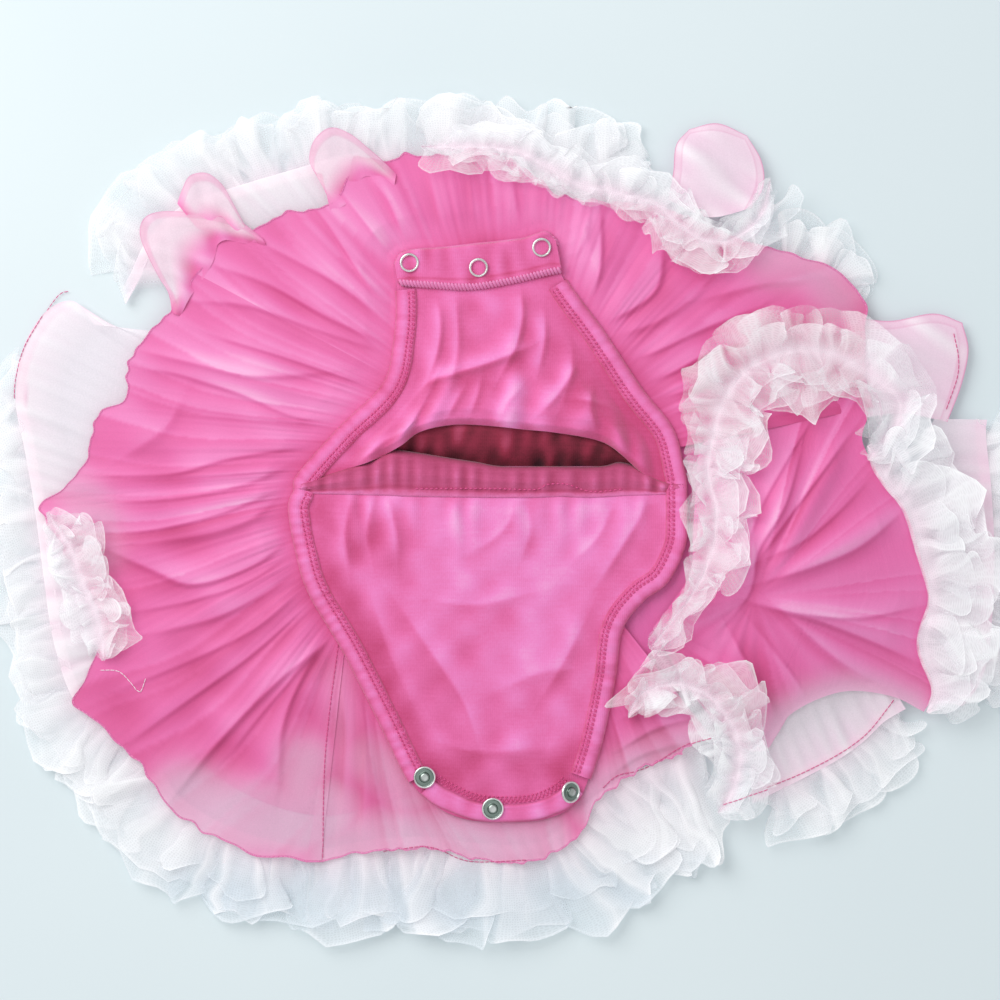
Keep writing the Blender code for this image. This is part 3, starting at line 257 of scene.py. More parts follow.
RUFFLE_FOLD_LOW = [  # x, y, outward, inward
    (57.5, -99, 6, 7), (64.5, -87, 7.5, 9), (77.5, -83, 9, 11), (93, -86, 11, 13), (105, -98, 13, 15),
    (112, -116, 13, 15), (109, -134.5, 13, 14), (102, -146.5, 11, 13),
]
RUFFLE_TOP_TURNED = [  # x, y, outward, inward
    (127.5, 165, 7, 7), (123.5, 148.5, 8, 8), (112, 137.5, 9, 10), (96, 134.5, 9, 12),
    (81.5, 143.5, 11, 11), (68.5, 154, 13, 10), (50, 159, 16.5, 8), (31.5, 163, 15, 8),
    (16.5, 172, 13, 10), (2.5, 179, 13, 12), (-13, 181, 9, 10), (-28, 181, 7, 9), (-44, 181, 6, 6),
]
RUFFLE_LEFT_TURNED = [  # x, y, outward, inward
    (-228, 1.5, 9, 11), (-217, -16.5, 12, 14), (-210.5, -34.5, 14, 16.5), (-203.5, -51.5, 13, 19.5),
    (-200.5, -71.5, 11, 16.5),
]

# Bloomer panels: four sides each
FRONT_LEFT = [(-58, 124.5), (-55.5, 106), (-56.5, 86), (-62, 64), (-84, 42), (-104, 19.5), (-106, 13)]
FRONT_RIGHT = [(22.5, 136.5), (25, 118), (44, 91), (63.5, 61.5), (78.5, 42), (84, 22), (85, 14.5)]
FRONT_CROTCH = [
    (-58, 124.5), (-52, 130.5), (-30, 132.5), (-17.5, 134), (4.5, 136.5), (16.5, 140), (22.5, 136.5),
]
FRONT_WAIST = [
    (-106, 13), (-94, 16.5), (-82, 22), (-69.5, 26), (-54.5, 33.5), (-45, 40.5), (-30, 44), (-15.5, 44),
    (4.5, 42), (24, 40), (44, 36), (54.5, 29), (63.5, 21), (74.5, 15.5), (85, 14.5),
]
BACK_LEFT = [
    (-106, 11.5), (-108.5, 2.5), (-104, -22), (-98, -39.5), (-82, -66.5), (-64.5, -101), (-50, -130.5),
    (-41, -140.5),
]
BACK_RIGHT = [
    (85, 10.5), (85, 0), (84, -15), (76, -32), (63.5, -42), (53.5, -56.5), (50, -81.5), (44, -111),
    (38, -130.5), (34, -140.5),
]
BACK_CROTCH = [(-41, -140.5), (-30, -147.5), (-15.5, -151), (9.5, -151), (24, -147.5), (34, -140.5)]
BACK_WAIST = [
    (-106, 11.5), (-94, 15), (-82, 18.5), (-71.5, 15.5), (-35, 11.5), (-5.5, 11.5), (16.5, 11), (44, 13),
    (67.5, 13), (74.5, 11.5), (85, 10.5),
]

# Broad folds on the panels
FRONT_RIDGES = [  # x0, y0, x1, y1, half_width, height
    (-46, 60.5, 12.5, 85, 6, 2.6), (-37, 110, -43, 60.5, 6, 1.6), (6.5, 110, -6.5, 66.5, 6, 1.8),
    (27, 91, 47, 55.5, 6, 1.8), (71, 44.5, 24, 54, 6, 1.8),
]
BACK_RIDGES = [  # x0, y0, x1, y1, half_width, height
    (-82, 12.5, -78.5, -32, 7, 2.2), (-57, 10.5, -62, -32, 7, 1.8), (-3, 10.5, 5.5, -22, 6, 1.8),
    (63.5, 11.5, 44, -32, 7, 2.2), (-54.5, -47, -27.5, -91, 8, 1.4), (39, -42, 14.5, -86, 8, 1.4),
    (-30, -113.5, 16.5, -116, 8, 1.2),
]

# Turned crotch hem and the crotch facing
CROTCH_HEM_OUTER = [
    (-44.5, -137.5), (-35, -144), (-15.5, -150.5), (9.5, -150.5), (27, -145), (35.5, -137.5),
]
CROTCH_HEM_INNER = [(-38, -131), (-30, -136), (-14.5, -142), (8.5, -142), (22, -137), (29, -131)]
FACING_CROTCH = [
    (-57.5, 124), (-52, 130), (-30, 132), (-17.5, 133.5), (4.5, 136), (16.5, 139.5), (22, 136),
]
FACING_LOW = [(-55.5, 114), (-40, 113), (-20, 112), (-0.5, 115), (17, 119), (25, 120.5)]
FACING_LEFT = [(-57.5, 124), (-56.5, 119), (-55.5, 114)]
FACING_RIGHT = [(22, 136), (23.5, 128.5), (25, 120.5)]

# ---- Creases, placed one by one ----
# A crease has its height, the width of its soft side (left of its run) and of its steep side, how
# strongly it shows as a painted highlight on its crest above painted shade in its valley, and the points
# that it runs through.
LINING_CREASES = [  # height, soft, steep, tone, points
    (2.2, 7, 2, 0.8, [(-183.5, 81.5), (-158.5, 75.5), (-126, 68.5), (-89, 70.5)]),
    (1.4, 5, 1.2, 0.7, [(-145, 88), (-113.5, 78.5), (-84, 68.5), (-67, 63.5)]),
    (1.8, 8, 1.5, 0.8, [(-181.5, 72.5), (-163.5, 69.5), (-132.5, 59.5), (-107.5, 49), (-84.5, 46.5)]),
    (1.2, 6, 3, 0.5, [(-191.5, 28.5), (-171.5, 42), (-162, 57.5)]),
    (1.6, 7, 1.5, 0.8, [(-204, 19.5), (-166.5, 20.5), (-138.5, 28), (-97, 34.5)]),
    (1.8, 6, 2, 0.7, [(-196.5, 6.5), (-164, 9), (-132.5, 15), (-103.5, 27.5)]),
    (1.6, 6, 1.5, 0.8, [(-194, -8.5), (-171.5, -6), (-141.5, 1.5), (-115, 12.5)]),
    (1.8, 6, 2.5, 0.6, [(-183, -14), (-149, -9), (-126, -0.5), (-107.5, 16.5)]),
    (2.6, 9, 1.8, 1, [(-204, -14.5), (-176.5, -27), (-156, -34), (-126, -24), (-105, -7.5)]),
    (2, 7, 2, 0.7, [(-178, -58.5), (-145, -50), (-119.5, -37), (-104, -25)]),
    (1.4, 5, 1.5, 0.6, [(-188.5, -48), (-158, -42), (-128.5, -32), (-104, -15)]),
    (3, 13, 2, 0.9, [(-170.5, -143.5), (-146, -113.5), (-116.5, -83), (-85, -57.5)]),
    (1.8, 6, 1.5, 0.8, [(-188.5, -112), (-160.5, -92), (-128.5, -69), (-98, -42)]),
    (1.4, 5, 1.5, 0.6, [(-193.5, -86), (-158, -71.5), (-126, -55.5), (-101, -34.5)]),
    (2.4, 9, 1.8, 0.9, [(-115, -135.5), (-112.5, -103.5), (-101.5, -76.5), (-87, -55.5)]),
    (1.6, 6, 1.5, 0.7, [(-139.5, -118.5), (-122.5, -97), (-104, -75.5), (-89, -59.5)]),
    (1.8, 5, 1.5, 0.8, [(-150, 124.5), (-120, 114), (-89, 97), (-58.5, 83)]),
    (1.6, 5, 1.5, 0.8, [(-127.5, 136.5), (-104, 124.5), (-79.5, 110), (-57.5, 91)]),
    (1.8, 5, 1.2, 0.9, [(-101, 157), (-87.5, 139.5), (-72, 116), (-55.5, 97)]),
    (1.6, 4, 1.5, 0.6, [(-158, 106), (-128.5, 103), (-94, 91), (-62.5, 80.5)]),
    (1.6, 4, 1.2, 0.8, [(-68.5, 166), (-60.5, 155), (-53.5, 139.5), (-48, 129.5)]),
    (1.4, 5, 1.5, 0.6, [(-88, 165), (-78.5, 152.5), (-65.5, 135.5), (-53.5, 117.5)]),
    (1, 4, 1.5, 0.5, [(-41, 170), (-38, 157.5), (-35, 143), (-34, 135.5)]),
    (1, 5, 1.5, 0.5, [(-20, 167.5), (-19, 155), (-17, 141.5)]),
    (1, 5, 1.5, 0.5, [(4.5, 137.5), (2.5, 152.5), (0.5, 165)]),
    (2.4, 7, 1.5, 0.9, [(40, 106), (44, 124.5), (44, 149)]),
    (1.2, 4, 1.5, 0.6, [(30, 124.5), (36.5, 136.5), (39, 148)]),
    (3, 8, 2, 1, [(47, 95), (63.5, 104), (72.5, 114), (74.5, 131.5)]),
    (2, 6, 2.5, 0.6, [(50, 88), (71, 95), (88, 106), (100.5, 119.5)]),
    (2, 6, 1.5, 0.8, [(57.5, 75.5), (75.5, 82.5), (93, 91), (122.5, 103)]),
    (1.8, 5, 1.5, 0.9, [(63.5, 63.5), (81.5, 71.5), (99, 80.5), (122.5, 87)]),
    (1.2, 4, 1.5, 0.7, [(66.5, 55.5), (83, 60.5), (95.5, 64.5)]),
    (1.2, 4, 1.5, 0.7, [(68.5, 48), (83, 51.5), (94, 54.5)]),
    (1.4, 6, 2, 0.5, [(93, 106), (122.5, 113.5), (148.5, 116)]),
    (2.2, 6, 1.5, 0.9, [(-84, -69), (-81.5, -106), (-83, -140.5), (-85, -169)]),
    (1.6, 5, 1.5, 0.7, [(-78.5, -74), (-71.5, -106), (-72.5, -135.5), (-73.5, -165)]),
    (1.6, 5, 1.5, 0.7, [(-61.5, -113.5), (-54.5, -135.5), (-52.5, -160)]),
    (1.4, 7, 1.5, 0.6, [(-35, -153), (-29, -159), (-20, -165)]),
    (1.6, 5, 1.2, 0.9, [(52.5, -101), (71, -92), (88, -86)]),
    (1.8, 5, 1.2, 0.9, [(51.5, -116.5), (71.5, -105), (93, -99)]),
    (1.6, 5, 1.5, 0.8, [(50, -88), (63.5, -77.5), (77.5, -66.5)]),
    (1.4, 5, 1.5, 0.7, [(47, -129.5), (63.5, -118.5), (88, -111)]),
]
# Where a single layer of chiffon shows the white below it
PALE_ZONES = [  # half_width, strength, points
    (17, 1, [(-160.5, -140.5), (-138.5, -148), (-111.5, -149.5), (-93, -148.5)]),
    (10, 1, [(-101, -121.5), (-104, -135.5), (-98, -155)]),
    (7, 0.3, [(-85, -81.5), (-83, -101), (-81.5, -135.5)]),
    (12, 0.9, [(-89, -165), (-64.5, -159), (-35, -159), (-5.5, -163), (16.5, -161)]),
    (10, 0.6, [(-71.5, -120.5), (-58.5, -128), (-50, -140.5)]),
    (12, 0.5, [(-212.5, 7.5), (-205, -2.5), (-203.5, -15)]),
    (12, 0.75, [(44, -143.5), (53.5, -133.5), (68.5, -123), (88, -116.5)]),
    (10, 0.6, [(127.5, 124.5), (148.5, 120.5), (162, 106)]),
]
SIDE_FOLD_CREASES = [  # height, soft, steep, tone, points
    (2.6, 7, 1.5, 1, [(120, -22), (130.5, -7.5), (152, 21), (169.5, 44)]),
    (1.8, 5, 1.5, 0.8, [(114, -16.5), (122.5, 5), (136.5, 29.5), (148.5, 48)]),
    (2, 5, 1.5, 0.9, [(106, -51.5), (116.5, -37), (120.5, -17), (133.5, 5), (142.5, 33)]),
    (2.2, 7, 1.8, 0.9, [(120.5, -33), (147.5, -25), (171, -15), (193, 2.5)]),
    (1.6, 6, 1.5, 0.8, [(123.5, -45), (147.5, -49), (172, -50), (200.5, -45)]),
    (2, 7, 1.5, 0.9, [(116.5, -42), (146.5, -50.5), (176, -61.5), (200.5, -72.5)]),
    (1.6, 6, 1.5, 0.8, [(128.5, -43.5), (148.5, -61.5), (167, -75.5), (186.5, -86)]),
    (2.4, 7, 1.8, 0.9, [(130.5, -102), (126.5, -91), (116.5, -75.5), (106.5, -56.5)]),
    (1.6, 5, 1.5, 0.7, [(148.5, -97), (140.5, -82.5), (128.5, -66.5), (116.5, -51.5)]),
    (1.4, 5, 1.5, 0.7, [(121.5, -22), (142.5, -12.5), (160, 1.5), (176, 18)]),
    (1.2, 5, 1.5, 0.6, [(88, -66.5), (101, -75.5), (115, -91), (120.5, -108.5)]),
]
FRONT_CREASES = [  # height, soft, steep, tone, points
    (1.4, 4, 1.5, 0.7, [(-58.5, 44.5), (-41, 64.5), (-29, 70.5)]),
    (1.8, 5, 1.5, 0.9, [(-42, 64.5), (-24, 70.5), (-8.5, 75.5), (9.5, 83)]),
    (1.4, 4, 1.2, 0.8, [(-43, 60.5), (-36, 81.5), (-35, 97), (-38, 110)]),
    (1.2, 4, 1.5, 0.6, [(-29, 64.5), (-26, 83.5), (-27, 106)]),
    (1.6, 4.5, 1.2, 0.9, [(-5.5, 67.5), (2.5, 83.5), (5.5, 97), (5, 110)]),
    (1.2, 4, 1.2, 0.7, [(13.5, 70.5), (16.5, 86), (16.5, 103.5)]),
    (1.4, 4.5, 1.5, 0.7, [(24, 52.5), (29, 66.5), (30, 81.5), (27, 95)]),
    (1.3, 4, 1.2, 0.8, [(42, 41), (39, 52.5), (40, 64)]),
    (1.4, 4, 1.2, 0.8, [(27, 57.5), (44, 54.5), (63.5, 45)]),
    (1.4, 4, 1.2, 0.8, [(14.5, 50), (24, 60.5), (32, 73.5)]),
    (1.2, 3.5, 1.2, 0.7, [(-20, 49), (-16.5, 58.5), (-14.5, 67.5)]),
    (1.2, 3.5, 1.2, 0.7, [(-31, 48), (-27, 55.5), (-23, 62.5)]),
    (1.2, 3.5, 1.2, 0.7, [(-5.5, 47), (-1.5, 55.5), (4.5, 62.5)]),
    (1.4, 3.5, 1.2, 0.9, [(-78.5, 22), (-63.5, 35), (-50, 42)]),
    (1.2, 3.5, 1.2, 0.7, [(-82, 26), (-68.5, 38), (-56.5, 44)]),
    (1, 3.5, 1.2, 0.7, [(43, 37), (53.5, 31), (65.5, 22)]),
]
BACK_CREASES = [  # height, soft, steep, tone, points
    (1.6, 5, 1.5, 0.8, [(-79.5, -29), (-81.5, -10), (-78.5, 8.5)]),
    (1.3, 4.5, 1.5, 0.7, [(-68.5, -22), (-70.5, -7.5), (-66.5, 10.5)]),
    (1.4, 4, 1.2, 0.8, [(-55.5, -22), (-56.5, -7.5), (-60.5, 9.5)]),
    (1, 4, 1.5, 0.6, [(-20, -18), (-9.5, -12.5), (-0.5, -2.5), (0.5, 8.5)]),
    (1, 5, 1.5, 0.6, [(4.5, -22), (9.5, -7.5), (7.5, 7.5)]),
    (1.6, 5, 1.5, 0.8, [(44, -32), (54.5, -15), (63.5, 0), (66.5, 10.5)]),
    (1.2, 4, 1.5, 0.6, [(31.5, -22), (43, -10), (50, 5)]),
    (1.2, 6, 2, 0.6, [(-55.5, -44), (-40, -66.5), (-24, -91), (-16.5, -112)]),
    (1, 5, 2, 0.5, [(-68.5, -42), (-58.5, -71.5), (-45, -101)]),
    (1.2, 6, 2, 0.6, [(14.5, -91), (29, -66.5), (42, -40)]),
    (1, 6, 2, 0.5, [(-35, -112), (-15.5, -116.5), (18, -115)]),
    (1, 5, 2, 0.5, [(-5.5, -86), (14.5, -77.5), (34, -75.5)]),
    (0.9, 5, 2, 0.5, [(-40, -42), (-15.5, -44), (14.5, -37)]),
]

# ---- Sewn lines: what they lie on is found from above ----
HEM_STITCHES = [  # points
    [(-85, -62), (-91.5, -117), (-93, -172.5)],
    [(-64.5, -166.5), (-41, -163.5), (-21, -171), (9.5, -170)],
    [(44.5, -135.5), (52.5, -128.5), (66.5, -125), (85.5, -113.5), (99.5, -109)],
    [(103, -143), (142.5, -128), (172, -111), (189, -91)],
    [(218.5, 91), (221, 71.5), (214, 49.5)],
    [(-218, 111), (-224.5, 108.5), (-234.5, 93.5), (-241, 81.5), (-245, 66.5), (-245.5, 56.5)],
]
WAIST_SEAM = [(-48, 13), (-11, 13), (11.5, 12.5), (18, 15), (27.5, 15), (39.5, 11.5), (57.5, 13)]
FACING_CORNER = [(20, 137.5), (23.5, 132), (24.5, 126), (26, 118), (28, 112)]
LOOSE_THREAD = [(-202.5, -76.5), (-193.5, -77), (-187.5, -82.5), (-183, -87.5), (-180, -80.5)]


# ---- Finishes ----

def linear(hex_colour):
    """An sRGB hex colour as linear red, green, blue and alpha."""
    parts = [int(hex_colour[i:i + 2], 16) / 255 for i in (1, 3, 5)]
    return (*[c / 12.92 if c <= 0.04045 else ((c + 0.055) / 1.055) ** 2.4 for c in parts], 1.0)


def add(tree, kind, sockets=None, out=0, stops=(), **settings):
    """Add a node with its settings, link or set its sockets, and hand back the output asked for."""
    made = tree.nodes.new("ShaderNode" + kind)
    for key, value in settings.items():
        setattr(made, key, value)
    for socket, value in (sockets or {}).items():
        if isinstance(value, bpy.types.NodeSocket):
            tree.links.new(value, made.inputs[socket])
        else:
            made.inputs[socket].default_value = value
    for _ in stops[2:]:
        made.color_ramp.elements.new(0.5)
    for number, (place, colour) in enumerate(stops):
        made.color_ramp.elements[number].position = place
        made.color_ramp.elements[number].color = linear(colour)
    return made.outputs[out]


def new_finish(name, **sockets):
    """A material and its node tree, with the shader's values that are the same all over it."""
    material = bpy.data.materials.new(name)
    material.use_nodes = True
    for key, value in sockets.items():
        material.node_tree.nodes["Principled BSDF"].inputs[key.replace("_", " ")].default_value = value
    return material, material.node_tree


def link_finish(material, **sockets):
    """Link a material's last nodes to its shader."""
    for key, value in sockets.items():
        shader = material.node_tree.nodes["Principled BSDF"]
        material.node_tree.links.new(value, shader.inputs[key.replace("_", " ")])
    return material


def chiffon(name, stops, pale, thin, glow):
    """Polyester chiffon: crinkled streaks run along its gathers, doubled layers are deeper, and one layer
    is sheer. The crinkle is 3 mm across and 80 mm along. The weave is drawn at 0.7 mm, coarser than the
    real 0.2 mm, so that it shows."""
    # The glow is painted light: an emission in the pale colour, for light that comes through the sheer
    # cloth
    material, tree = new_finish(name, Roughness=0.62, Sheen_Weight=0.2, Sheen_Roughness=0.4,
                                Emission_Strength=glow, Emission_Color=linear(pale))
    cut = add(tree, "TexCoord", out="UV")
    place = add(tree, "TexCoord", out="Object")
    run = add(tree, "Mapping", {"Vector": cut, "Scale": (330, 12, 1)})
    streak = add(tree, "TexNoise", {"Vector": run, "Scale": 1.0, "Detail": 2.0})
    cloud = add(tree, "TexNoise", {"Vector": place, "Scale": 30.0, "Detail": 2.0})
    weave = add(tree, "TexNoise", {"Vector": place, "Scale": 1500.0, "Detail": 1.0})
    tone, pale_mark, hem_mark = [add(tree, "Attribute", out="Fac", attribute_name=key)
                                 for key in ("tone", "pale", "hem")]
    # The tone brings painted highlights and painted shade of the folds into the cloth's colour
    shade = add(tree, "Math", {0: tone, 1: 0.30, 2: 0.37}, operation="MULTIPLY_ADD")
    shade = add(tree, "Math", {0: streak, 1: 0.07, 2: shade}, operation="MULTIPLY_ADD")
    shade = add(tree, "Math", {0: cloud, 1: 0.24, 2: shade}, operation="MULTIPLY_ADD", use_clamp=True)
    colour = add(tree, "ValToRGB", {"Fac": shade}, stops=stops)
    for mark, over in ((pale_mark, pale), (hem_mark, "#DA66A2")):
        colour = add(tree, "Mix", {0: mark, 6: colour, 7: linear(over)}, out=2, data_type="RGBA")
    cover = add(tree, "Math", {0: pale_mark, 1: -thin, 2: 1.02}, operation="MULTIPLY_ADD")
    cover = add(tree, "Math", {0: weave, 1: -0.12, 2: cover}, operation="MULTIPLY_ADD")
    cover = add(tree, "Math", {0: cover, 1: hem_mark}, operation="MAXIMUM", use_clamp=True)
    raised = add(tree, "Bump", {"Height": streak, "Distance": 0.00018, "Strength": 1.0})
    return link_finish(material, Base_Color=colour, Alpha=cover, Normal=raised)


def nylon_net():
    """Soft white nylon net, whiter where it doubles. Its mesh is drawn at 1.2 mm, about twice the real
    one, so that it just shows. A little glow stands for light that comes through from the table below."""
    material, tree = new_finish("nylon_net_white", Roughness=0.7, Sheen_Weight=0.2, Sheen_Roughness=0.5,
                                Emission_Strength=0.06, Emission_Color=linear("#FFF6FA"))
    cut = add(tree, "TexCoord", out="UV")
    place = add(tree, "TexCoord", out="Object")
    mesh_place = add(tree, "Mapping", {"Vector": cut, "Scale": (850, 850, 1)})
    hole = add(tree, "TexVoronoi", {"Vector": mesh_place, "Scale": 1.0, "Randomness": 0.5},
               out="Distance", voronoi_dimensions="2D", feature="DISTANCE_TO_EDGE")
    thread = add(tree, "MapRange", {"Value": hole, "From Min": 0.05, "From Max": 0.35,
                                    "To Min": 0.05, "To Max": -0.05})
    cloud = add(tree, "TexNoise", {"Vector": place, "Scale": 70.0, "Detail": 3.0})
    tone, blush, dense = [add(tree, "Attribute", out="Fac", attribute_name=key)
                          for key in ("tone", "blush", "dense")]
    # The tone ramp's bluish-grey low end is painted shade in the folds
    shade = add(tree, "Math", {0: tone, 1: 0.4, 2: 0.5}, operation="MULTIPLY_ADD")
    colour = add(tree, "ValToRGB", {"Fac": shade},
                 stops=[(0.0, "#E6EEF4"), (0.45, "#FBFBFD"), (1.0, "#FFFFFF")])
    colour = add(tree, "Mix", {0: blush, 6: colour, 7: linear("#F6C4DC")}, out=2, data_type="RGBA")
    cover = add(tree, "Math", {0: cloud, 1: 0.24, 2: dense}, operation="MULTIPLY_ADD")
    cover = add(tree, "Math", {0: cover, 1: thread}, operation="ADD", use_clamp=True)
    raised = add(tree, "Bump", {"Height": cloud, "Distance": 0.0008, "Strength": 1.0})
    return link_finish(material, Base_Color=colour, Alpha=cover, Normal=raised)


def jersey(name, stops, sheen=0.3):
    """Cotton jersey, wrong side out: knit ribs that barely show, a soft mottle and a matt brushed face.
    Its ribs are drawn 3 mm apart and its courses 0.9 mm apart, coarser than real so that they show."""
    material, tree = new_finish(name, Roughness=0.9, Sheen_Weight=sheen, Sheen_Roughness=0.6)
    place = add(tree, "TexCoord", out="Object")
    ribs = add(tree, "TexWave", {"Vector": place, "Scale": 330.0, "Distortion": 2.0, "Detail": 1.0,
                                 "Detail Scale": 2.0}, out="Fac", bands_direction="X")
    mottle = add(tree, "TexNoise", {"Vector": place, "Scale": 26.0, "Detail": 6.0})
    courses = add(tree, "Mapping", {"Vector": place, "Scale": (90, 1100, 90)})
    slub = add(tree, "TexNoise", {"Vector": courses, "Scale": 1.0, "Detail": 2.0})
    fluff = add(tree, "TexNoise", {"Vector": place, "Scale": 900.0, "Detail": 2.0})
    tone = add(tree, "Attribute", out="Fac", attribute_name="tone")
    # The tone brings the panels' painted highlights and painted shade into the knit's own mottled colour
    shade = add(tree, "Math", {0: tone, 1: 0.42, 2: 0.24}, operation="MULTIPLY_ADD")
    for detail, strength in ((mottle, 0.30), (slub, 0.14), (fluff, 0.16)):
        shade = add(tree, "Math", {0: detail, 1: strength, 2: shade}, operation="MULTIPLY_ADD",
                    use_clamp=detail is fluff)
    colour = add(tree, "ValToRGB", {"Fac": shade}, stops=stops)
    knit = add(tree, "Math", {0: ribs, 1: fluff}, operation="ADD")
    raised = add(tree, "Bump", {"Height": knit, "Distance": 0.0001, "Strength": 0.5})
    return link_finish(material, Base_Color=colour, Normal=raised)


def sewing_thread(name, deep, light):
    """Spun polyester sewing thread: a faint twist about every millimetre, and a low gloss."""
    material, tree = new_finish(name, Roughness=0.5, Sheen_Weight=0.15)
    place = add(tree, "TexCoord", out="Object")
    twist = add(tree, "TexWave", {"Vector": place, "Scale": 900.0}, out="Fac", bands_direction="DIAGONAL")
    colour = add(tree, "ValToRGB", {"Fac": twist}, stops=[(0.2, deep), (1.0, light)])
    return link_finish(material, Base_Color=colour)


def nickel_plate():
    """Nickel-plated pressed brass: bright rims and nubs, and in the dishes a grey-green tarnish, darkened
    further by a painted reflection of the dark room.
    """
    material, tree = new_finish("nickel_plate_pressed", Metallic=1.0)
    place = add(tree, "TexCoord", out="Object")
    haze = add(tree, "TexNoise", {"Vector": place, "Scale": 300.0, "Detail": 3.0})
    colour = add(tree, "ValToRGB", {"Fac": haze},
                 stops=[(0.3, "#D2D3CE"), (0.5, "#ECECE9"), (0.8, "#F8F8F6")])
    tarnish_and_reflection = add(tree, "Attribute", out="Fac", attribute_name="tarnish_and_reflection")
    # Tarnish and a painted dark reflection of the room, mixed in down in the dishes
    colour = add(tree, "Mix", {0: tarnish_and_reflection, 6: colour, 7: linear("#84928A")}, out=2, data_type="RGBA")
    rough = add(tree, "MapRange", {"Value": haze, "To Min": 0.20, "To Max": 0.38})
    return link_finish(material, Base_Color=colour, Roughness=rough)


PINK_STOPS = [(0.0, "#C83C78"), (0.28, "#DE5896"), (0.5, "#EB6CAC"), (0.75, "#F387C2"), (1.0, "#F9B0DA")]
HIDDEN_STOPS = [(0.0, "#C9408A"), (0.5, "#E768AC"), (1.0, "#F391C8")]
PALE_STOPS = [(0.0, "#EFC3DA"), (0.5, "#F8DDEA"), (1.0, "#FFFAFC")]
# The curled finish is the bright one with a paler see-through colour; it and the pale one have a painted
# glow
BRIGHT = chiffon("chiffon_bright_pink", PINK_STOPS, pale="#F4B8D8", thin=0.28, glow=0.0)
HIDDEN = chiffon("chiffon_hidden_pink", HIDDEN_STOPS, pale="#F4C6DF", thin=0.0, glow=0.0)
CURLED = chiffon("chiffon_curled_pink", PINK_STOPS, pale="#FBDFEC", thin=0.36, glow=0.03)
PALE = chiffon("chiffon_pale_pink", PALE_STOPS, pale="#FBEAF2", thin=0.45, glow=0.07)
NET = nylon_net()
JERSEY = jersey("cotton_jersey_pink", [(0.0, "#BC2E64"), (0.25, "#D44E88"), (0.5, "#E869A8"),
                                       (0.75, "#F284C6"), (1.0, "#F8A8DC")])
# Painted shade: a darker copy of the jersey for the back casing, which lies in shade by the opening
SHADED_BAND = jersey("cotton_jersey_band_shaded", [(0.0, "#742040"), (0.4, "#B03C68"), (0.7, "#CE5688"),
                                     (1.0, "#EE7FBC")], sheen=0.15)
# Painted shade: a far darker copy of the jersey for the front casing down in the opening
SHADED = jersey("cotton_jersey_inside_shaded", [(0.0, "#300810"), (0.35, "#661628"), (0.7, "#9E2C48"),
                                         (1.0, "#C04C6E")], sheen=0.04)
THREAD = sewing_thread("polyester_thread_deep", "#CC2C78", "#EA68A2")
THREAD_LIGHT = sewing_thread("polyester_thread_light", "#E070AC", "#F79CCB")
THREAD_PALE = sewing_thread("polyester_thread_pale", "#F4CCE0", "#FDEBF4")
NICKEL = nickel_plate()


# ---- Lines, grids and heights, as in the solids ----

def within(value):
    """A value kept between 0 and 1."""
    return np.clip(value, 0, 1)


def bell(distance, width):
    """A soft hump, 1 in its middle and about a third at its width."""
    return np.exp(-(distance / width) ** 2)


def plan(grid):
    """The two plan coordinates of a grid."""
    return grid[..., 0], grid[..., 1]


def travelled(line):
    """How far along a line in plan each of its points is."""
    return np.concatenate([[0], np.cumsum(np.hypot(*np.diff(line[:, :2], axis=0).T))])


def smooth_line(rows, places):
    """Points along a smooth curve through the rows, at shares of its length or at an even count."""
    shares = np.linspace(0, 1, places) if isinstance(places, int) else np.asarray(places, dtype=float)
    knots = np.array(rows, dtype=float)
    before = 2 * knots[0] - knots[1]
    after = 2 * knots[-1] - knots[-2]
    knots = np.vstack([before, knots, after])
    step = np.linspace(0, 1, SPAN_STEPS, endpoint=False)[:, None]
    spans = []
    for a, b, c, d in zip(knots, knots[1:], knots[2:], knots[3:]):
        cubic = 2 * b + (c - a) * step + (2 * a - 5 * b + 4 * c - d) * step ** 2
        spans.append(0.5 * (cubic + (3 * b - a - 3 * c + d) * step ** 3))
    curve = np.vstack(spans + [knots[-2:-1]])
    lengths = travelled(curve)
    return np.column_stack([np.interp(shares * lengths[-1], lengths, column) for column in curve.T])


def round_edge(table, angles, inset=0.0):
    """Points round the waist's middle on a smooth edge through the table's radii, less an inset."""
    angle_column, radius_column = smooth_line(table, EDGE_STEPS).T
    radius = np.interp(angles, angle_column, radius_column) - inset
    turn = np.radians(angles)
    return np.column_stack([WAIST_X + radius * np.cos(turn), WAIST_Y + radius * np.sin(turn)])


def between(first, second, shares):
    """Grid of points from one line to another, at the given shares of the way."""
    shares = np.asarray(shares, dtype=float)
    return first[:, None, :] + (second - first)[:, None, :] * shares[None, :, None]


def four_sided(left, right, low, high, columns, row_shares):
    """Grid that fills four sides: low and high run left to right, left and right run low to high."""
    row_shares = np.asarray(row_shares, dtype=float)
    left, right = smooth_line(left, row_shares), smooth_line(right, row_shares)
    low, high = smooth_line(low, columns), smooth_line(high, columns)
    across = np.linspace(0, 1, columns)[:, None, None]
    along = row_shares[None, :, None]
    sides = left[None] * (1 - across) + right[None] * across
    ends = low[:, None] * (1 - along) + high[:, None] * along
    corners = (low[0] * (1 - across) * (1 - along) + low[-1] * across * (1 - along)
               + high[0] * (1 - across) * along + high[-1] * across * along)
    return sides + ends - corners


def lift(grid, heights):
    """A flat grid with a height at each point."""
    return np.concatenate([grid[..., :2], np.broadcast_to(heights, grid.shape[:2])[..., None]], axis=2)


def outward(line, reach):
    """The unit normal to the right of a line's direction, taken over a reach of points to both sides."""
    number = np.arange(len(line))
    ahead = line[np.minimum(number + reach, len(line) - 1), :2]
    run = ahead - line[np.maximum(number - reach, 0), :2]
    run /= np.hypot(*run.T)[:, None]
    return np.column_stack([run[:, 1], -run[:, 0]])


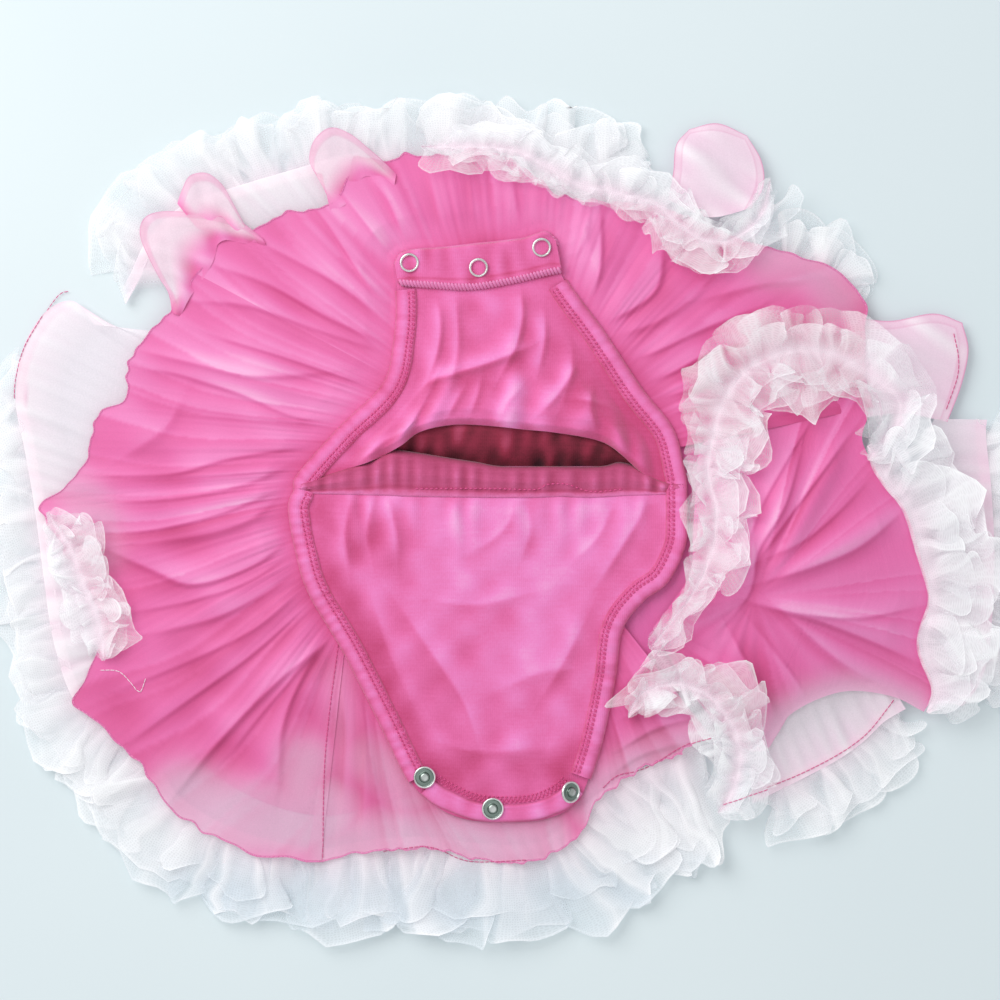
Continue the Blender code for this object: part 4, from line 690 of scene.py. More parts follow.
def stretch(hem, first, last, columns):
    """Points from one row of a hem to another, each with its x, y, width and outward normal."""
    fine = smooth_line(hem, HEM_STEPS)
    fine = np.column_stack([fine, outward(fine, int(HEM_STEPS * 0.3 / len(hem)))])
    first, last = [np.hypot(*(fine[:, :2] - hem[row][:2]).T).argmin() for row in (first, last)]
    trim = math.ceil(SEAM_GAP / math.dist(fine[0, :2], fine[1, :2]))
    return fine[np.linspace(first + trim, last - trim, columns).round().astype(int)]


def heap(x, y):
    """Upper side of the hidden tiers."""
    height = HEAP_RIM
    for mid_x, mid_y, rise, reach_x, reach_y in HEAPS:
        height = height + rise * np.exp(-((x - mid_x) / reach_x) ** 2 - ((y - mid_y) / reach_y) ** 2)
    return height


def ridges(rows, x, y):
    """Soft ridges along straight lines, fading at both ends."""
    height = 0 * x
    for x0, y0, x1, y1, half_width, rise in rows:
        run_x, run_y = x1 - x0, y1 - y0
        length = math.hypot(run_x, run_y)
        along = ((x - x0) * run_x + (y - y0) * run_y) / length ** 2
        across = ((x - x0) * run_y - (y - y0) * run_x) / length
        fade = np.sin(np.pi * within(along)) ** 0.6
        height = np.maximum(height, rise * fade * bell(across, half_width))
    return height


def lining_top(x, y):
    """Upper side of the lining between its pleats."""
    return heap(x, y) + HIDDEN_GAP + CHIFFON_WALL


def side_fold_top(x, y):
    """Upper side of the lining's folded side, before its edges are eased down."""
    return lining_top(x, y) + ridges(SIDE_FOLD_RIDGES, x, y)


def tier_top(x, y):
    """Upper side of the outer tier, just under the lining."""
    return heap(x, y) + HIDDEN_GAP - TIER_GAP


def panel_top(x, y):
    """Upper side of a bloomer panel between its folds."""
    return lining_top(x, y) + SEAM_GAP + COTTON_WALL


def trim_top(x, y):
    """Upper side of a hem or facing that lies on a panel."""
    return panel_top(x, y) + SEAM_GAP + COTTON_WALL


def highest_near(surface, x, y, reach):
    """The highest that a surface stands within reach of each point."""
    turns = np.radians(np.arange(0, 360, 45))
    around = [surface(x + reach * math.cos(turn), y + reach * math.sin(turn)) for turn in turns]
    return np.max([surface(x, y)] + around, axis=0)


def side_ease(grid, *sides):
    """0 under the leg hems at a panel's two sides, and 1 within."""
    edge = np.concatenate([smooth_line(side, 60) for side in sides])
    return within((nearest(grid, edge) - HEM_WIDTH - SIDE_CLEAR) / HEM_WIDTH)


# ---- Folds, gathers and marks ----

def streaks(u, v, seed, low, high, drift, count=14):
    """Uneven waves of unit size across u, from low to high cycles a millimetre, that wander along v."""
    rng = np.random.default_rng(seed)
    total = 0.0
    for _ in range(count):
        across = math.exp(rng.uniform(math.log(low), math.log(high)))
        along, start = rng.uniform(-drift, drift), rng.uniform(0, 2 * math.pi)
        total = total + np.sin(2 * math.pi * (across * u + along * v) + start)
    return total / math.sqrt(count / 2)


def ribbons(place, along, width, count, seed):
    """The tone of gathered sheer cloth that lies over itself: each band has its own tone, a thin painted
    highlight along its edge, and painted shade where the next one lies over it."""
    rng = np.random.default_rng(seed)
    tone = 0.0
    for strength, share in ((0.8, 1.0), (0.6, 0.7)):
        edges = place.min() + np.ptp(place) * np.sort(rng.uniform(0, 1, int(count * share)))
        values = rng.uniform(-0.5, 0.5, len(edges) + 1)
        strayed = place + 0.12 * streaks(0.15 * place, along, seed + 5, 0.004, 0.02, 0.01)
        which = np.searchsorted(edges, strayed)
        sides = edges[np.clip(np.stack([which - 1, which]), 0, len(edges) - 1)]
        begun, left = np.abs(strayed - sides) * width
        # Each band's own tone, a painted highlight at its edge and painted shade before the next band
        tone = tone + strength * (values[which] + 0.40 * np.exp(-begun / 1.3)
                                  - 0.45 * np.exp(-left / 2.6))
    for _ in range(2):
        tone[1:-1] = (tone[:-2] + 2 * tone[1:-1] + tone[2:]) / 4
    return tone


def line_places(x, y, points, reach):
    """Which points are near a line, how far they are to its left, and how far along it."""
    line = smooth_line(points, 26)[:, :2]
    near = (x > line[:, 0].min() - reach) & (x < line[:, 0].max() + reach)
    near &= (y > line[:, 1].min() - reach) & (y < line[:, 1].max() + reach)
    start, run = line[:-1], np.diff(line, axis=0)
    from_x, from_y = x[near][:, None] - start[:, 0], y[near][:, None] - start[:, 1]
    share = within((from_x * run[:, 0] + from_y * run[:, 1]) / (run ** 2).sum(axis=1))
    off_x, off_y = from_x - share * run[:, 0], from_y - share * run[:, 1]
    which = (off_x ** 2 + off_y ** 2).argmin(axis=1)
    row = np.arange(len(which))
    off_x, off_y, share = off_x[row, which], off_y[row, which], share[row, which]
    side = np.sign(run[which, 0] * off_y - run[which, 1] * off_x)
    return near, np.hypot(off_x, off_y) * side, (which + share) / len(run)


def creases(x, y, table, broad=1.0, crisp=1.0):
    """The height that the creases of a table add at each point, and their painted highlight and shade."""
    height, tone = np.zeros_like(x), np.zeros_like(x)
    for rise, soft, steep, shade, points in table:
        soft, steep = soft * broad, steep * crisp
        near, left, along = line_places(x, y, points, 3 * soft)
        fade = np.sin(np.pi * np.clip(along, 0.02, 0.98)) ** 0.5
        height[near] += rise * fade * bell(left, np.where(left > 0, soft, steep))
        # Painted highlight on each crest's soft side, painted shade in the valley on its steep side
        over = 1 / (1 + np.exp(-left / 0.35))
        light = 0.80 * bell(left, 0.75 * soft)
        deep = 0.75 * bell(left, 4.5 * steep)
        tone[near] += shade * fade * (over * light - (1 - over) * deep)
    return height, tone


def zones(x, y, table):
    """How far each point lies in the soft zones along a table's lines, from 0 to 1."""
    share = np.zeros_like(x)
    for half_width, strength, points in table:
        near, left, _ = line_places(x, y, points, 3 * half_width)
        share[near] = np.maximum(share[near], strength / (1 + np.exp((np.abs(left) - half_width) / 3.5)))
    return share


def nearest(grid, places):
    """The distance from each point of a grid to the nearest of the places."""
    best = np.full(grid.shape[:2], np.inf)
    for x, y in places[:, :2]:
        best = np.minimum(best, np.hypot(grid[..., 0] - x, grid[..., 1] - y))
    return best


def mesh_piece(name, points, faces, finish, cuts=None, marks=None):
    """A piece from points in plan millimetres and faces of one size, smooth, in its finish."""
    mesh = bpy.data.meshes.new(name)
    mesh.vertices.add(len(points))
    mesh.vertices.foreach_set("co", ((points + SHIFT) * MM).ravel())
    mesh.loops.add(faces.size)
    mesh.loops.foreach_set("vertex_index", faces.ravel())
    mesh.polygons.add(len(faces))
    mesh.polygons.foreach_set("loop_start", np.arange(len(faces)) * faces.shape[1])
    mesh.update(calc_edges=True)
    if cuts is not None:
        mesh.uv_layers.new(name="cut").data.foreach_set("uv", cuts[faces.ravel()].ravel())
    for key, values in (marks or {}).items():
        mesh.attributes.new(key, "FLOAT", "POINT").data.foreach_set("value", values)
    mesh.materials.append(finish)
    mesh.shade_smooth()
    piece = bpy.data.objects.new(name, mesh)
    bpy.context.scene.collection.objects.link(piece)
    return piece


def cloth(name, grids, finish, wall=0.0, **marks):
    """A cloth piece from grids of points, with its cut as UVs, and for each mark a value for each grid."""
    points, quads, cuts, base = [], [], [], 0
    for number, grid in enumerate(grids):
        columns, rows = grid.shape[:2]
        index = base + np.arange(columns * rows).reshape(columns, rows)
        faces = np.stack([index[:-1, :-1], index[1:, :-1], index[1:, 1:], index[:-1, 1:]], axis=-1)
        across, up = grid[1:, :-1] - grid[:-1, :-1], grid[:-1, 1:] - grid[:-1, :-1]
        upward = np.cross(across, up)[..., 2].sum() > 0
        quads.append((faces if upward else faces[..., ::-1]).reshape(-1, 4))
        points.append(grid.reshape(-1, 3))
        run = np.linalg.norm(np.diff(grid[:, rows // 2], axis=0), axis=1)
        across = np.concatenate([[0], np.cumsum(run)])[:, None] + 0 * grid[..., 0]
        reach = np.cumsum(np.linalg.norm(np.diff(grid, axis=1), axis=2), axis=1)
        along = np.concatenate([np.zeros((columns, 1)), reach], axis=1)
        cuts.append(np.stack([across + CUTS_APART * number, along], axis=-1).reshape(-1, 2) * MM)
        base += columns * rows
    flat = {key: np.concatenate([np.broadcast_to(value, grid.shape[:2]).ravel()
                                 for value, grid in zip(values, grids)]).astype(np.float32)
            for key, values in marks.items()}
    piece = mesh_piece(name, np.concatenate(points), np.concatenate(quads), finish,
                       np.concatenate(cuts), flat)
    if wall:
        solid = piece.modifiers.new("wall", "SOLIDIFY")
        solid.thickness, solid.offset = wall * MM, -1.0
        bpy.context.view_layer.objects.active = piece
        bpy.ops.object.modifier_apply(modifier=solid.name)
    return piece


def lay(piece, grids, nodes):
    """Attach a sheet to the root and hide its solids; its width, length and area are worked out but unused.
    """
    width, length, area = 0.0, 0.0, 0.0
    for grid in grids:
        width = max(width, np.linalg.norm(np.diff(grid, axis=1), axis=2).sum(axis=1).max() * MM)
        length += np.linalg.norm(np.diff(grid, axis=0), axis=2).sum(axis=0).max() * MM
        across, up = np.diff(grid, axis=0)[:, :-1], np.diff(grid, axis=1)[:-1]
        area += np.linalg.norm(np.cross(across, up), axis=2).sum() * MM ** 2
    width, length = round(width + 0.0005, 3), round(length + 0.0005, 3)
    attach(piece, "root")
    if nodes:
        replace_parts(piece, *nodes)
    return piece


# ---- Skirt lining ----

def lining_gore(name, node, pleats, first, last, columns, rows, seed, under=0.0):
    """A gore of the gathered lining: pleats from under the bloomer, creases, and a scalloped hem."""
    waist_column, hem_column, height_column = np.array(pleats).T
    place = np.linspace(first, last, columns)
    number = np.arange(len(pleats))
    inner = round_edge(BLOOMER_EDGE, np.interp(place, number, waist_column), PANEL_OVER_LINING)
    outer = round_edge(LINING_EDGE, np.interp(place, number, hem_column))
    run = 40 * place
    away = (outer - inner) / np.hypot(*(outer - inner).T)[:, None]
    outer = outer + away * (0.5 * streaks(run, 0, seed, 0.03, 0.09, 0))[:, None]
    length = np.hypot(*(outer - inner).T)
    edge = 1 - np.array([1.8, 1.2, 0.8, 0.4, 0.0]) / length[:, None]
    shares = np.concatenate([edge[:, :1] * np.linspace(0, 0.995, rows - 5), edge], axis=1)
    grid = inner[:, None] + (outer - inner)[:, None] * shares[..., None]
    x, y = plan(grid)
    clear = nearest(grid, round_edge(BLOOMER_EDGE, np.arange(0, 360, 1.5)))
    rise = within((clear - PLEAT_CLEAR) / PLEAT_RISE)
    crest = np.interp(place, number, height_column) * (0.5 + 0.5 * np.cos(2 * np.pi * place))
    folds, tone = creases(x, y, LINING_CREASES, 1.7, 0.9)
    along = shares * length[:, None]
    fine = streaks(run[:, None], along, seed + 1, 0.04, 0.15, 0.006)
    fading = 0.06 + 0.94 * np.exp(-along / 24)
    soft = streaks(0.03 * x + 0.02 * y, 0.03 * y, 17, 0.3, 1.2, 0.8)
    heights = lining_top(x, y) + rise * (0.25 * crest[:, None] * (1 - 0.6 * shares ** 2) + 0.70 * folds
                                         + 0.28 * fine * fading + 0.5 * soft + 0.8)
    from_hem = (1 - shares) * length[:, None]
    heights += 0.5 * np.exp(-from_hem / 1.2) - under * within(1 - (place - first) / 0.6)[:, None]
    layers = ribbons(np.broadcast_to(place[:, None], x.shape), along, length.mean() * 0.11,
                     2 * (last - first), seed + 2)
    # Painted light: highlights and shade of the creases and bands, over the cloth's own streaks
    tone = tone * rise + 0.12 * fine * fading + 1.1 * layers * np.clip(along / 30, 0.2, 1) + 0.18 * soft
    # Painted light: lighter towards the top and darker to the lower right, as it falls from the upper left
    tone = tone + 0.35 * np.tanh((y - 10 - 0.8 * np.maximum(x, 0)) / 60)
    # Painted shade where the lining goes in under the bloomer
    tone = tone - 0.6 * bell(clear, 6.0)
    pale = np.clip(zones(x, y, PALE_ZONES) * (1 + 0.45 * layers), 0, 1.1)
    grid = lift(grid, heights)
    hem = np.where(from_hem < 0.9, 0.7, 0.0)
    piece = cloth(name, [grid], BRIGHT, tone=[tone], pale=[pale], hem=[hem])
    return lay(piece, [grid], [node]), grid


def hidden_tiers():
    """The gathered tiers below, as one soft mass in four blocks round the waist opening."""
    shares = np.concatenate([np.linspace(0, 0.9, 18), [0.93, 0.96, 0.98, 0.99, 1.0]])
    columns = 240
    grids, number = [], np.arange(columns)
    for slot_y, angles in [(SLOT_FRONT_Y, (173, 6.9)), (SLOT_BACK_Y, (178.6, 361.4))]:
        edge = round_edge(UNDER_TIER_EDGE, np.linspace(*angles, columns))
        run = np.linspace(edge[0, 0] + 8, edge[-1, 0] - 8, columns)
        grid = between(np.column_stack([run, np.full(columns, slot_y)]), edge, shares)
        gather = streaks(number[:, None], 0, 5, 0.05, 0.16, 0) * shares[None, :] ** 3
        top = heap(*plan(grid)) - HIDDEN_SINK + 0.35 * gather
        top = top * np.clip((1 - shares) / 0.06, 0.02, 1)[None, :] ** 0.5
        top = top * np.clip(np.minimum(number, number[::-1]) / 3, 0.02, 1)[:, None] ** 0.5
        grids.append(lift(grid, np.maximum(top, TABLE_CLEAR)))
    left, right = grids[0][0, 0, 0], grids[0][-1, 0, 0]
    inward = np.concatenate([[0, 0.004, 0.012, 0.03, 0.06], np.linspace(0.1, 1, 12)])
    for outer_x, slot_x, turn in [(left, SLOT_LEFT_X, 1), (right, SLOT_RIGHT_X, -1)]:
        run = (outer_x + (slot_x - outer_x) * inward)[::turn]
        low = np.column_stack([run, np.full(len(inward), SLOT_BACK_Y)])
        grid = between(low, low + [0, SLOT_FRONT_Y - SLOT_BACK_Y], np.linspace(0, 1, 8))
        top = (heap(*plan(grid)) - HIDDEN_SINK) * np.clip(inward / 0.06, 0.02, 1)[::turn, None] ** 0.5
        grids.append(lift(grid, np.maximum(top, TABLE_CLEAR)))
    down = [1, 1, 0]
    closed = [np.concatenate([grid[:, :1] * down, grid, grid[:, -1:] * down], axis=1) for grid in grids]
    piece = cloth("hidden_tiers", closed, HIDDEN, tone=[0.0] * 4, pale=[0.0] * 4, hem=[0.0] * 4)
    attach(piece, "root")
    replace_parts(piece, "under_tiers_front", "under_tiers_back", "under_tiers_left", "under_tiers_right")
    return piece


def side_fold():
    """The skirt's right side folded over on itself, its creases meeting in the middle."""
    count = 190
    grid = four_sided(SIDE_FOLD_LEFT, SIDE_FOLD_RIGHT, SIDE_FOLD_LOW, SIDE_FOLD_HIGH, count,
                      np.linspace(0, 1, count))
    x, y = plan(grid)
    rim = np.concatenate([grid[0], grid[-1], grid[:, 0], grid[:, -1]])[::4]
    ease = within(nearest(grid, rim) / 16)
    folds, tone = creases(x, y, SIDE_FOLD_CREASES, 1.5, 0.7)
    from_x, from_y = x - FOLD_CENTRE[0], y - FOLD_CENTRE[1]
    turn, reach = np.arctan2(from_y, from_x), np.hypot(from_y, from_x)
    fine = streaks(turn * 40, reach, 21, 0.02, 0.10, 0.01) * np.clip(reach / 30, 0.0, 1)
    layers = ribbons(turn * 10, reach, reach / 10, 26, 31)
    broad = ridges(SIDE_FOLD_RIDGES, x, y)
    heights = lining_top(x, y) + (0.6 * broad + 0.65 * folds + 0.25 * fine) * ease + SEAM_GAP
    # Painted light: highlights and shade of the creases and bands, and lighter on the broad ridges
    tone = tone + 0.12 * fine + 1.05 * layers * within(reach / 40) + 0.04 * broad
    # Painted shade in the pocket where the creases meet; darker towards the bottom
    tone = tone - 0.4 * bell(reach, 14) - 0.5 * within((-60 - y) / 50)
    grid = lift(grid, heights)
    piece = cloth("lining_fold_right", [grid], BRIGHT, tone=[tone], pale=[zones(x, y, SIDE_FOLD_PALE)],
                  hem=[0.0])
    return lay(piece, [grid], ["lining_side_fold"])


# ---- Outer tier ----

def outer_tier(name, hem, inner, rows, whiteness, seed):
    """A stretch of the pale outer tier, from its ruffle's seam to where it goes in under the lining."""
    hem_line = hem[:, :2] + hem[:, 3:] * 1.2
    shares = np.linspace(0, 1, rows)
    grid = between(hem_line, smooth_line(inner, len(hem)), shares)
    x, y = plan(grid)
    run = travelled(hem_line)[:, None]
    fine = streaks(run, 30 * shares[None, :], seed, 0.03, 0.14, 0.008)
    heights = tier_top(x, y) + 0.5 * fine * np.sin(np.pi * np.clip(shares, 0.05, 0.8))[None, :]
    grid = lift(grid, np.maximum(heights, TIER_CLEAR))
    edge = shares[None, :] * np.linalg.norm(grid[:, -1] - grid[:, 0], axis=1)[:, None]
    band = within((x + 215) / -6) * within((y - 52) / 6)
    lines = bell(edge - 0.4, 0.5) + 0.7 * bell(edge - 5.4, 0.4)
    lines = lines + 0.25 * ((edge > 0.4) & (edge < 5.4))
    from_end = np.minimum(run, run[-1] - run)
    thinning = 2.2 * within(1 - from_end / 18) * (name == "tier_top_left")
    piece = cloth(name.replace("tier", "outer_tier"), [grid], PALE, tone=[0.5 * fine + whiteness],
                  pale=[within(0.3 + 0.7 * edge / 25) + thinning],
                  hem=[within(0.6 * lines * band)])
    return lay(piece, [grid], [name])


def tier_patch(name, sides, heights, whiteness, seed, puff):
    """A free patch of the outer tier that fills four sides."""
    even = np.linspace(0, 1, 60)
    grid = four_sided(*sides, 60, even)
    x, y = plan(grid)
    fine = streaks(x * 0.6 + y, y, seed, 0.02, 0.09, 0.03)
    swell = np.sin(np.pi * even)[None, :] * np.sin(np.pi * even)[:, None]
    grid = lift(grid, heights(x, y, even) + puff * swell + 0.7 * fine * (0.3 + 0.7 * swell))
    rim = np.minimum.reduce([even[:, None] + 0 * x, 1 - even[:, None] + 0 * x, 1 - even[None, :] + 0 * x])
    edge = PATCH_WIDTH * rim
    band = 0.8 * bell(edge, 0.6) + 0.35 * bell(edge - 4.5, 0.5) + 0.12 * (edge < 4.5)
    piece = cloth(name.replace("tier", "outer_tier"), [grid], PALE, tone=[0.8 * fine + whiteness],
                  pale=[0.15 + 0.35 * swell], hem=[band])
    return lay(piece, [grid], [name])


# ---- Net ruffles ----

def folds_along(length, mean, seed):
    """Uneven folds along a sewn line: where each column stands, how far it has turned, and its habits."""
    rng = np.random.default_rng(seed)
    count = max(3, round(length / mean))
    sizes = rng.uniform(0.35, 1.9, count)
    sizes *= length / sizes.sum()
    phase = np.linspace(0, count, count * FOLD_STEPS + 1)
    place = np.interp(phase, np.arange(count + 1), np.concatenate([[0], np.cumsum(sizes)]))
    middle = np.arange(count) + 0.5
    habits = {"size": np.interp(phase, middle, sizes)}
    for key, low, high in [("lean", 0.25, 0.58), ("tilt", -1.6, 1.6), ("reach", 0.74, 1.12),
                           ("rise", 0.3, 1.3), ("curl", -0.3, 1.0)]:
        habits[key] = np.interp(phase, middle, rng.uniform(low, high, count))
    return place, phase, habits


def ends(place):
    """1 within a ruffle, as a column, easing towards nothing at both ends."""
    near = np.minimum(place, place[-1] - place) / NET_TAPER
    return np.sin(0.5 * np.pi * np.clip(near, 0.03, 1))[:, None]


def net_layer(line, normal, widths, base, rise, wander, phase, place, habits, seed):
    """One layer of gathered net: folds that lean over each other and stray towards the cut edges."""
    outmost = np.abs(widths).max(axis=1)[:, None]
    spread = np.abs(widths) / outmost
    side = np.sign(widths)
    calm = ends(place)
    turn = 2 * np.pi * phase[:, None] + np.where(side < 0, 2.3, 0.0)
    small = streaks(place[:, None], 26 * spread * side, seed, 0.05, 0.16, 0.02)
    slow = streaks(place[:, None], 0 * spread, seed + 1, 0.006, 0.02, 0)
    crest = 0.5 + 0.5 * np.cos(turn)
    habit = {key: value[:, None] for key, value in habits.items()}
    length = 1 + calm * spread * (habit["reach"] - 1 + 0.18 * np.cos(turn + habit["tilt"]) + 0.03 * small)
    sway = habit["lean"] * habit["size"] * np.sin(turn + habit["tilt"]) * spread ** 1.2
    sway = calm * (sway + 0.20 * outmost * slow * spread)
    tangent = np.column_stack([-normal[:, 1], normal[:, 0]])[:, None]
    grid = line[:, None] + normal[:, None] * (widths * length)[..., None] + tangent * sway[..., None]
    x, y = plan(grid)
    astray = np.stack([streaks(x + 0.5 * y, y, seed + 2, 0.012, 0.045, 0.04),
                       streaks(y - 0.6 * x, x, seed + 3, 0.012, 0.045, 0.04)], axis=-1)
    grid = grid + wander * astray * (calm * spread)[..., None]
    heights = base(*plan(grid), spread)
    heights = heights + habit["rise"] * rise * crest * np.sin(0.5 * np.pi * spread)
    turned_up = habit["curl"] * 0.35 * rise * within((spread - 0.78) / 0.22) ** 2
    grid = lift(grid, np.maximum(heights + calm * (0.3 * small * spread + turned_up), TABLE_CLEAR))
    rim, root = bell(1 - spread, 0.025), bell(spread, 0.16)
    folded = (np.exp(-4 * (phase % 1)) - 0.25)[:, None] * within(spread / 0.3)
    # Painted light: lighter on the crests, and each fold bright along one edge and shaded across it
    tone = 0.35 * (crest - 0.5) * spread + 0.9 * folded + 0.15 * small + 0.25 * rim
    dense = 0.16 + 0.10 * crest + 0.30 * folded + 0.27 * rim + 0.26 * root + 0.08 * small
    return grid, tone, within(0.35 * bell(spread, 0.4)), dense


def net_piece(name, layers, nodes):
    """A ruffle's layers of net as one piece."""
    grids, tone, blush, dense = zip(*layers)
    piece = cloth(name, grids, NET, tone=tone, blush=blush, dense=dense)
    return lay(piece, grids, nodes)


def hem_ruffle(name, nodes, hem, crests, mean, shade, sheer, seed):
    """The net ruffle along a hem: three layers, gathered under the seam, resting on the table."""
    shares = np.concatenate([np.linspace(0, 0.94, 15), CRISP_EDGE])
    length = travelled(hem)[-1]
    layers = []
    for layer, (cut, size) in enumerate(FLAT_LAYERS):
        place, phase, habits = folds_along(length, mean * size, seed + 10 * layer)
        share = place / length * (len(hem) - 1)
        row = np.column_stack([np.interp(share, np.arange(len(hem)), column) for column in hem.T])
        widths = (row[:, 2:3] * cut + NET_ALLOWANCE) * ends(place) * shares[None, :] + 0.01
        line = row[:, :2] - NET_TUCK * row[:, 3:]
        rise = np.interp(place / length, [0, 1], crests)[:, None] * (1 - 0.12 * layer)
        seam = tier_top(row[:, 0], row[:, 1])[:, None] - 0.7

        def base(x, y, spread):
            return seam * (1 - spread) ** 2 + TIER_CLEAR + 0.8 * layer * spread

        grid, tone, blush, dense = net_layer(line, row[:, 3:], widths, base, rise, 2.0, phase, place,
                                             habits, seed + 4 * layer)
        layers.append((grid, tone + shade * within((-160 - grid[..., 1]) / 25), blush, dense - sheer))
    return net_piece(name, layers, nodes)


def turned_ruffle(node, rows, under, allowance, rise, mean, sheer, seed):
    """Net along a turned-up hem: it flares to both sides of its sewn line, one side over the other."""
    shares = np.concatenate([-np.array(CRISP_EDGE[::-1]), np.linspace(-0.94, 0.94, 25), CRISP_EDGE])
    length = travelled(smooth_line(rows, 300))[-1]
    layers = []
    for layer, (cut, size) in enumerate(TURNED_LAYERS):
        place, phase, habits = folds_along(length, mean * size, seed + 10 * layer)
        line = smooth_line(rows, place / length)
        normal = outward(line, len(place) // len(rows) // 2)
        reach = np.where(shares > 0, line[:, 2:3], line[:, 3:4]) * cut * ends(place)
        widths = reach * np.where(shares == 0, 1e-3, shares)[None, :]

        def base(x, y, spread):
            surface = highest_near(under, x, y, RESTING_REACH)
            return surface + allowance + 0.7 * layer + 0.15 * rise * spread

        grid, tone, blush, dense = net_layer(line[:, :2], normal, widths, base, rise, 2.8, phase, place,
                                             habits, seed + 4 * layer)
        layers.append((grid, tone, blush, dense - sheer))
    return net_piece(node + "_net", layers, [node])


# ---- Curled hems of the lining ----

def curl(outer, inner, swell, seed):
    """A stretch of the lining's hem that curls over: its folded hem outside, sheer cloth within."""
    columns = 110
    shares = np.concatenate([[0, 0.02], np.linspace(0.04, 1, 34)])
    grid = between(smooth_line(outer, columns), smooth_line(inner, columns), shares)
    x, y = plan(grid)
    reach = np.linalg.norm(grid - grid[:, :1], axis=2)
    fine = streaks(x + y, x - y, seed, 0.02, 0.07, 0.05)
    heights = lining_top(x, y) + 1.3 + swell * np.sin(np.pi * within(shares))[None, :] + 0.35 * fine
    band = 1 / (1 + np.exp((reach - 4.2) / 0.3))
    lines = 0.9 * bell(reach, 0.5) + 0.35 * bell(reach - 4.4, 0.5)
    into = within((shares[None, :] - 0.35) / 0.55)
    number = np.arange(columns)
    tips = np.minimum(number, number[::-1]) / columns
    showing = (1 - into * into * (3 - 2 * into)) * within(tips / 0.14)[:, None]
    pale = (1.1 - 0.4 * band) * showing
    return lift(grid, heights), 0.4 * fine + 0.2, pale, within(0.7 * lines + 0.25 * band) * showing


def curls():
    """The three curls high on the left."""
    grids, tone, pale, hem = zip(*[curl(*row) for row in CURLS])
    piece = cloth("lining_hem_curls", grids, CURLED, tone=tone, pale=pale, hem=hem)
    return lay(piece, grids, [])


# ---- Bloomer ----

def panel_gathers(columns, count, shares, depth, reach, seed):
    """Small uneven folds that leave a sewn edge and fade over a share of the panel's length."""
    place = np.linspace(0, count, columns)
    uneven = 0.75 + 0.35 * streaks(place, 0, seed, 0.15, 0.5, 0)
    wave = (0.5 + 0.5 * np.cos(2 * np.pi * place)) * uneven
    return depth * wave[:, None] * bell(shares, reach * (0.8 + 0.3 * uneven[:, None]))


def front_panel():
    """The bloomer's front: soft gathers from the waist edge, which curls up over the opening."""
    columns, rows = 170, 100
    shares = np.linspace(0, 1, rows) ** 1.25
    grid = four_sided(FRONT_LEFT[::-1], FRONT_RIGHT[::-1], FRONT_WAIST, FRONT_CROTCH, columns, shares)
    x, y = plan(grid)
    before_facing = within((0.82 - shares) / 0.1)[None, :]
    ease = side_ease(grid, FRONT_LEFT, FRONT_RIGHT)
    folds, tone = creases(x, y, FRONT_CREASES, 1.4, 1.5)
    gather = panel_gathers(columns, 11, shares[None, :], 3.4, 0.24, 3)
    lip = GATHER_HEIGHT * np.interp(shares, [0, 0.03, 0.08, 0.2, 0.35, 1], [0.0, 0.75, 1.0, 0.45, 0, 0])
    folds = folds * before_facing + 0.7 * ridges(FRONT_RIDGES, x, y) * before_facing + gather
    fine = streaks(x, y, 8, 0.02, 0.09, 0.06)
    heights = panel_top(x, y) + (folds + lip[None, :] + 0.25 * fine * before_facing) * ease
    # Painted highlights on the gathers, and painted light and shade of the creases
    tone = (1.1 * tone * before_facing + 0.28 * (gather - 0.8)) * ease + 0.15 * fine
    # Painted shade along the leg hems
    tone = tone + 0.22 - 0.55 * (1 - ease)
    # Painted shade under the curled waist edge
    tone = tone - 0.7 * bell(shares, 0.025)[None, :]
    # Painted shade low on the right, then the tone is softly limited
    tone = np.tanh(tone - 1.1 * within((x - 12) / 40) * within((100 - y) / 40))
    grid = lift(grid, heights)
    piece = cloth("bloomer_front", [grid], JERSEY, PANEL_THICK, tone=[tone])
    return lay(piece, [grid], ["front_panel"])


def back_panel():
    """The bloomer's back: flat, with shallow pulls, gathered a little where the waistband takes it."""
    columns, rows = 150, 120
    shares = np.linspace(0, 1, rows)
    grid = four_sided(BACK_LEFT, BACK_RIGHT, BACK_WAIST, BACK_CROTCH, columns, shares)
    x, y = plan(grid)
    ease = side_ease(grid, BACK_LEFT, BACK_RIGHT) * within(np.minimum((1 - shares) / 0.12, shares / 0.05))
    folds, tone = creases(x, y, BACK_CREASES, 1.4, 1.5)
    gather = panel_gathers(columns, 19, shares[None, :], 1.6, 0.10, 9)
    fine = streaks(x, y, 12, 0.015, 0.06, 0.05)
    folds = 0.6 * folds + 0.4 * ridges(BACK_RIDGES, x, y) + gather + 0.2 * fine
    heights = panel_top(x, y) + folds * ease
    # Painted highlights on the gathers, painted light and shade of the creases, painted shade by the leg
    # hems
    tone = (0.8 * tone + 0.3 * (gather - 0.3)) * ease + 0.15 * fine + 0.28 - 0.55 * (1 - ease)
    tone = tone + 0.3 * np.tanh((y + 75 + 0.6 * x) / 50) - zones(x, y, BACK_SHADE)
    grid = lift(grid, heights)
    piece = cloth("bloomer_back", [grid], JERSEY, PANEL_THICK, tone=[tone])
    return lay(piece, [grid], ["back_panel"])


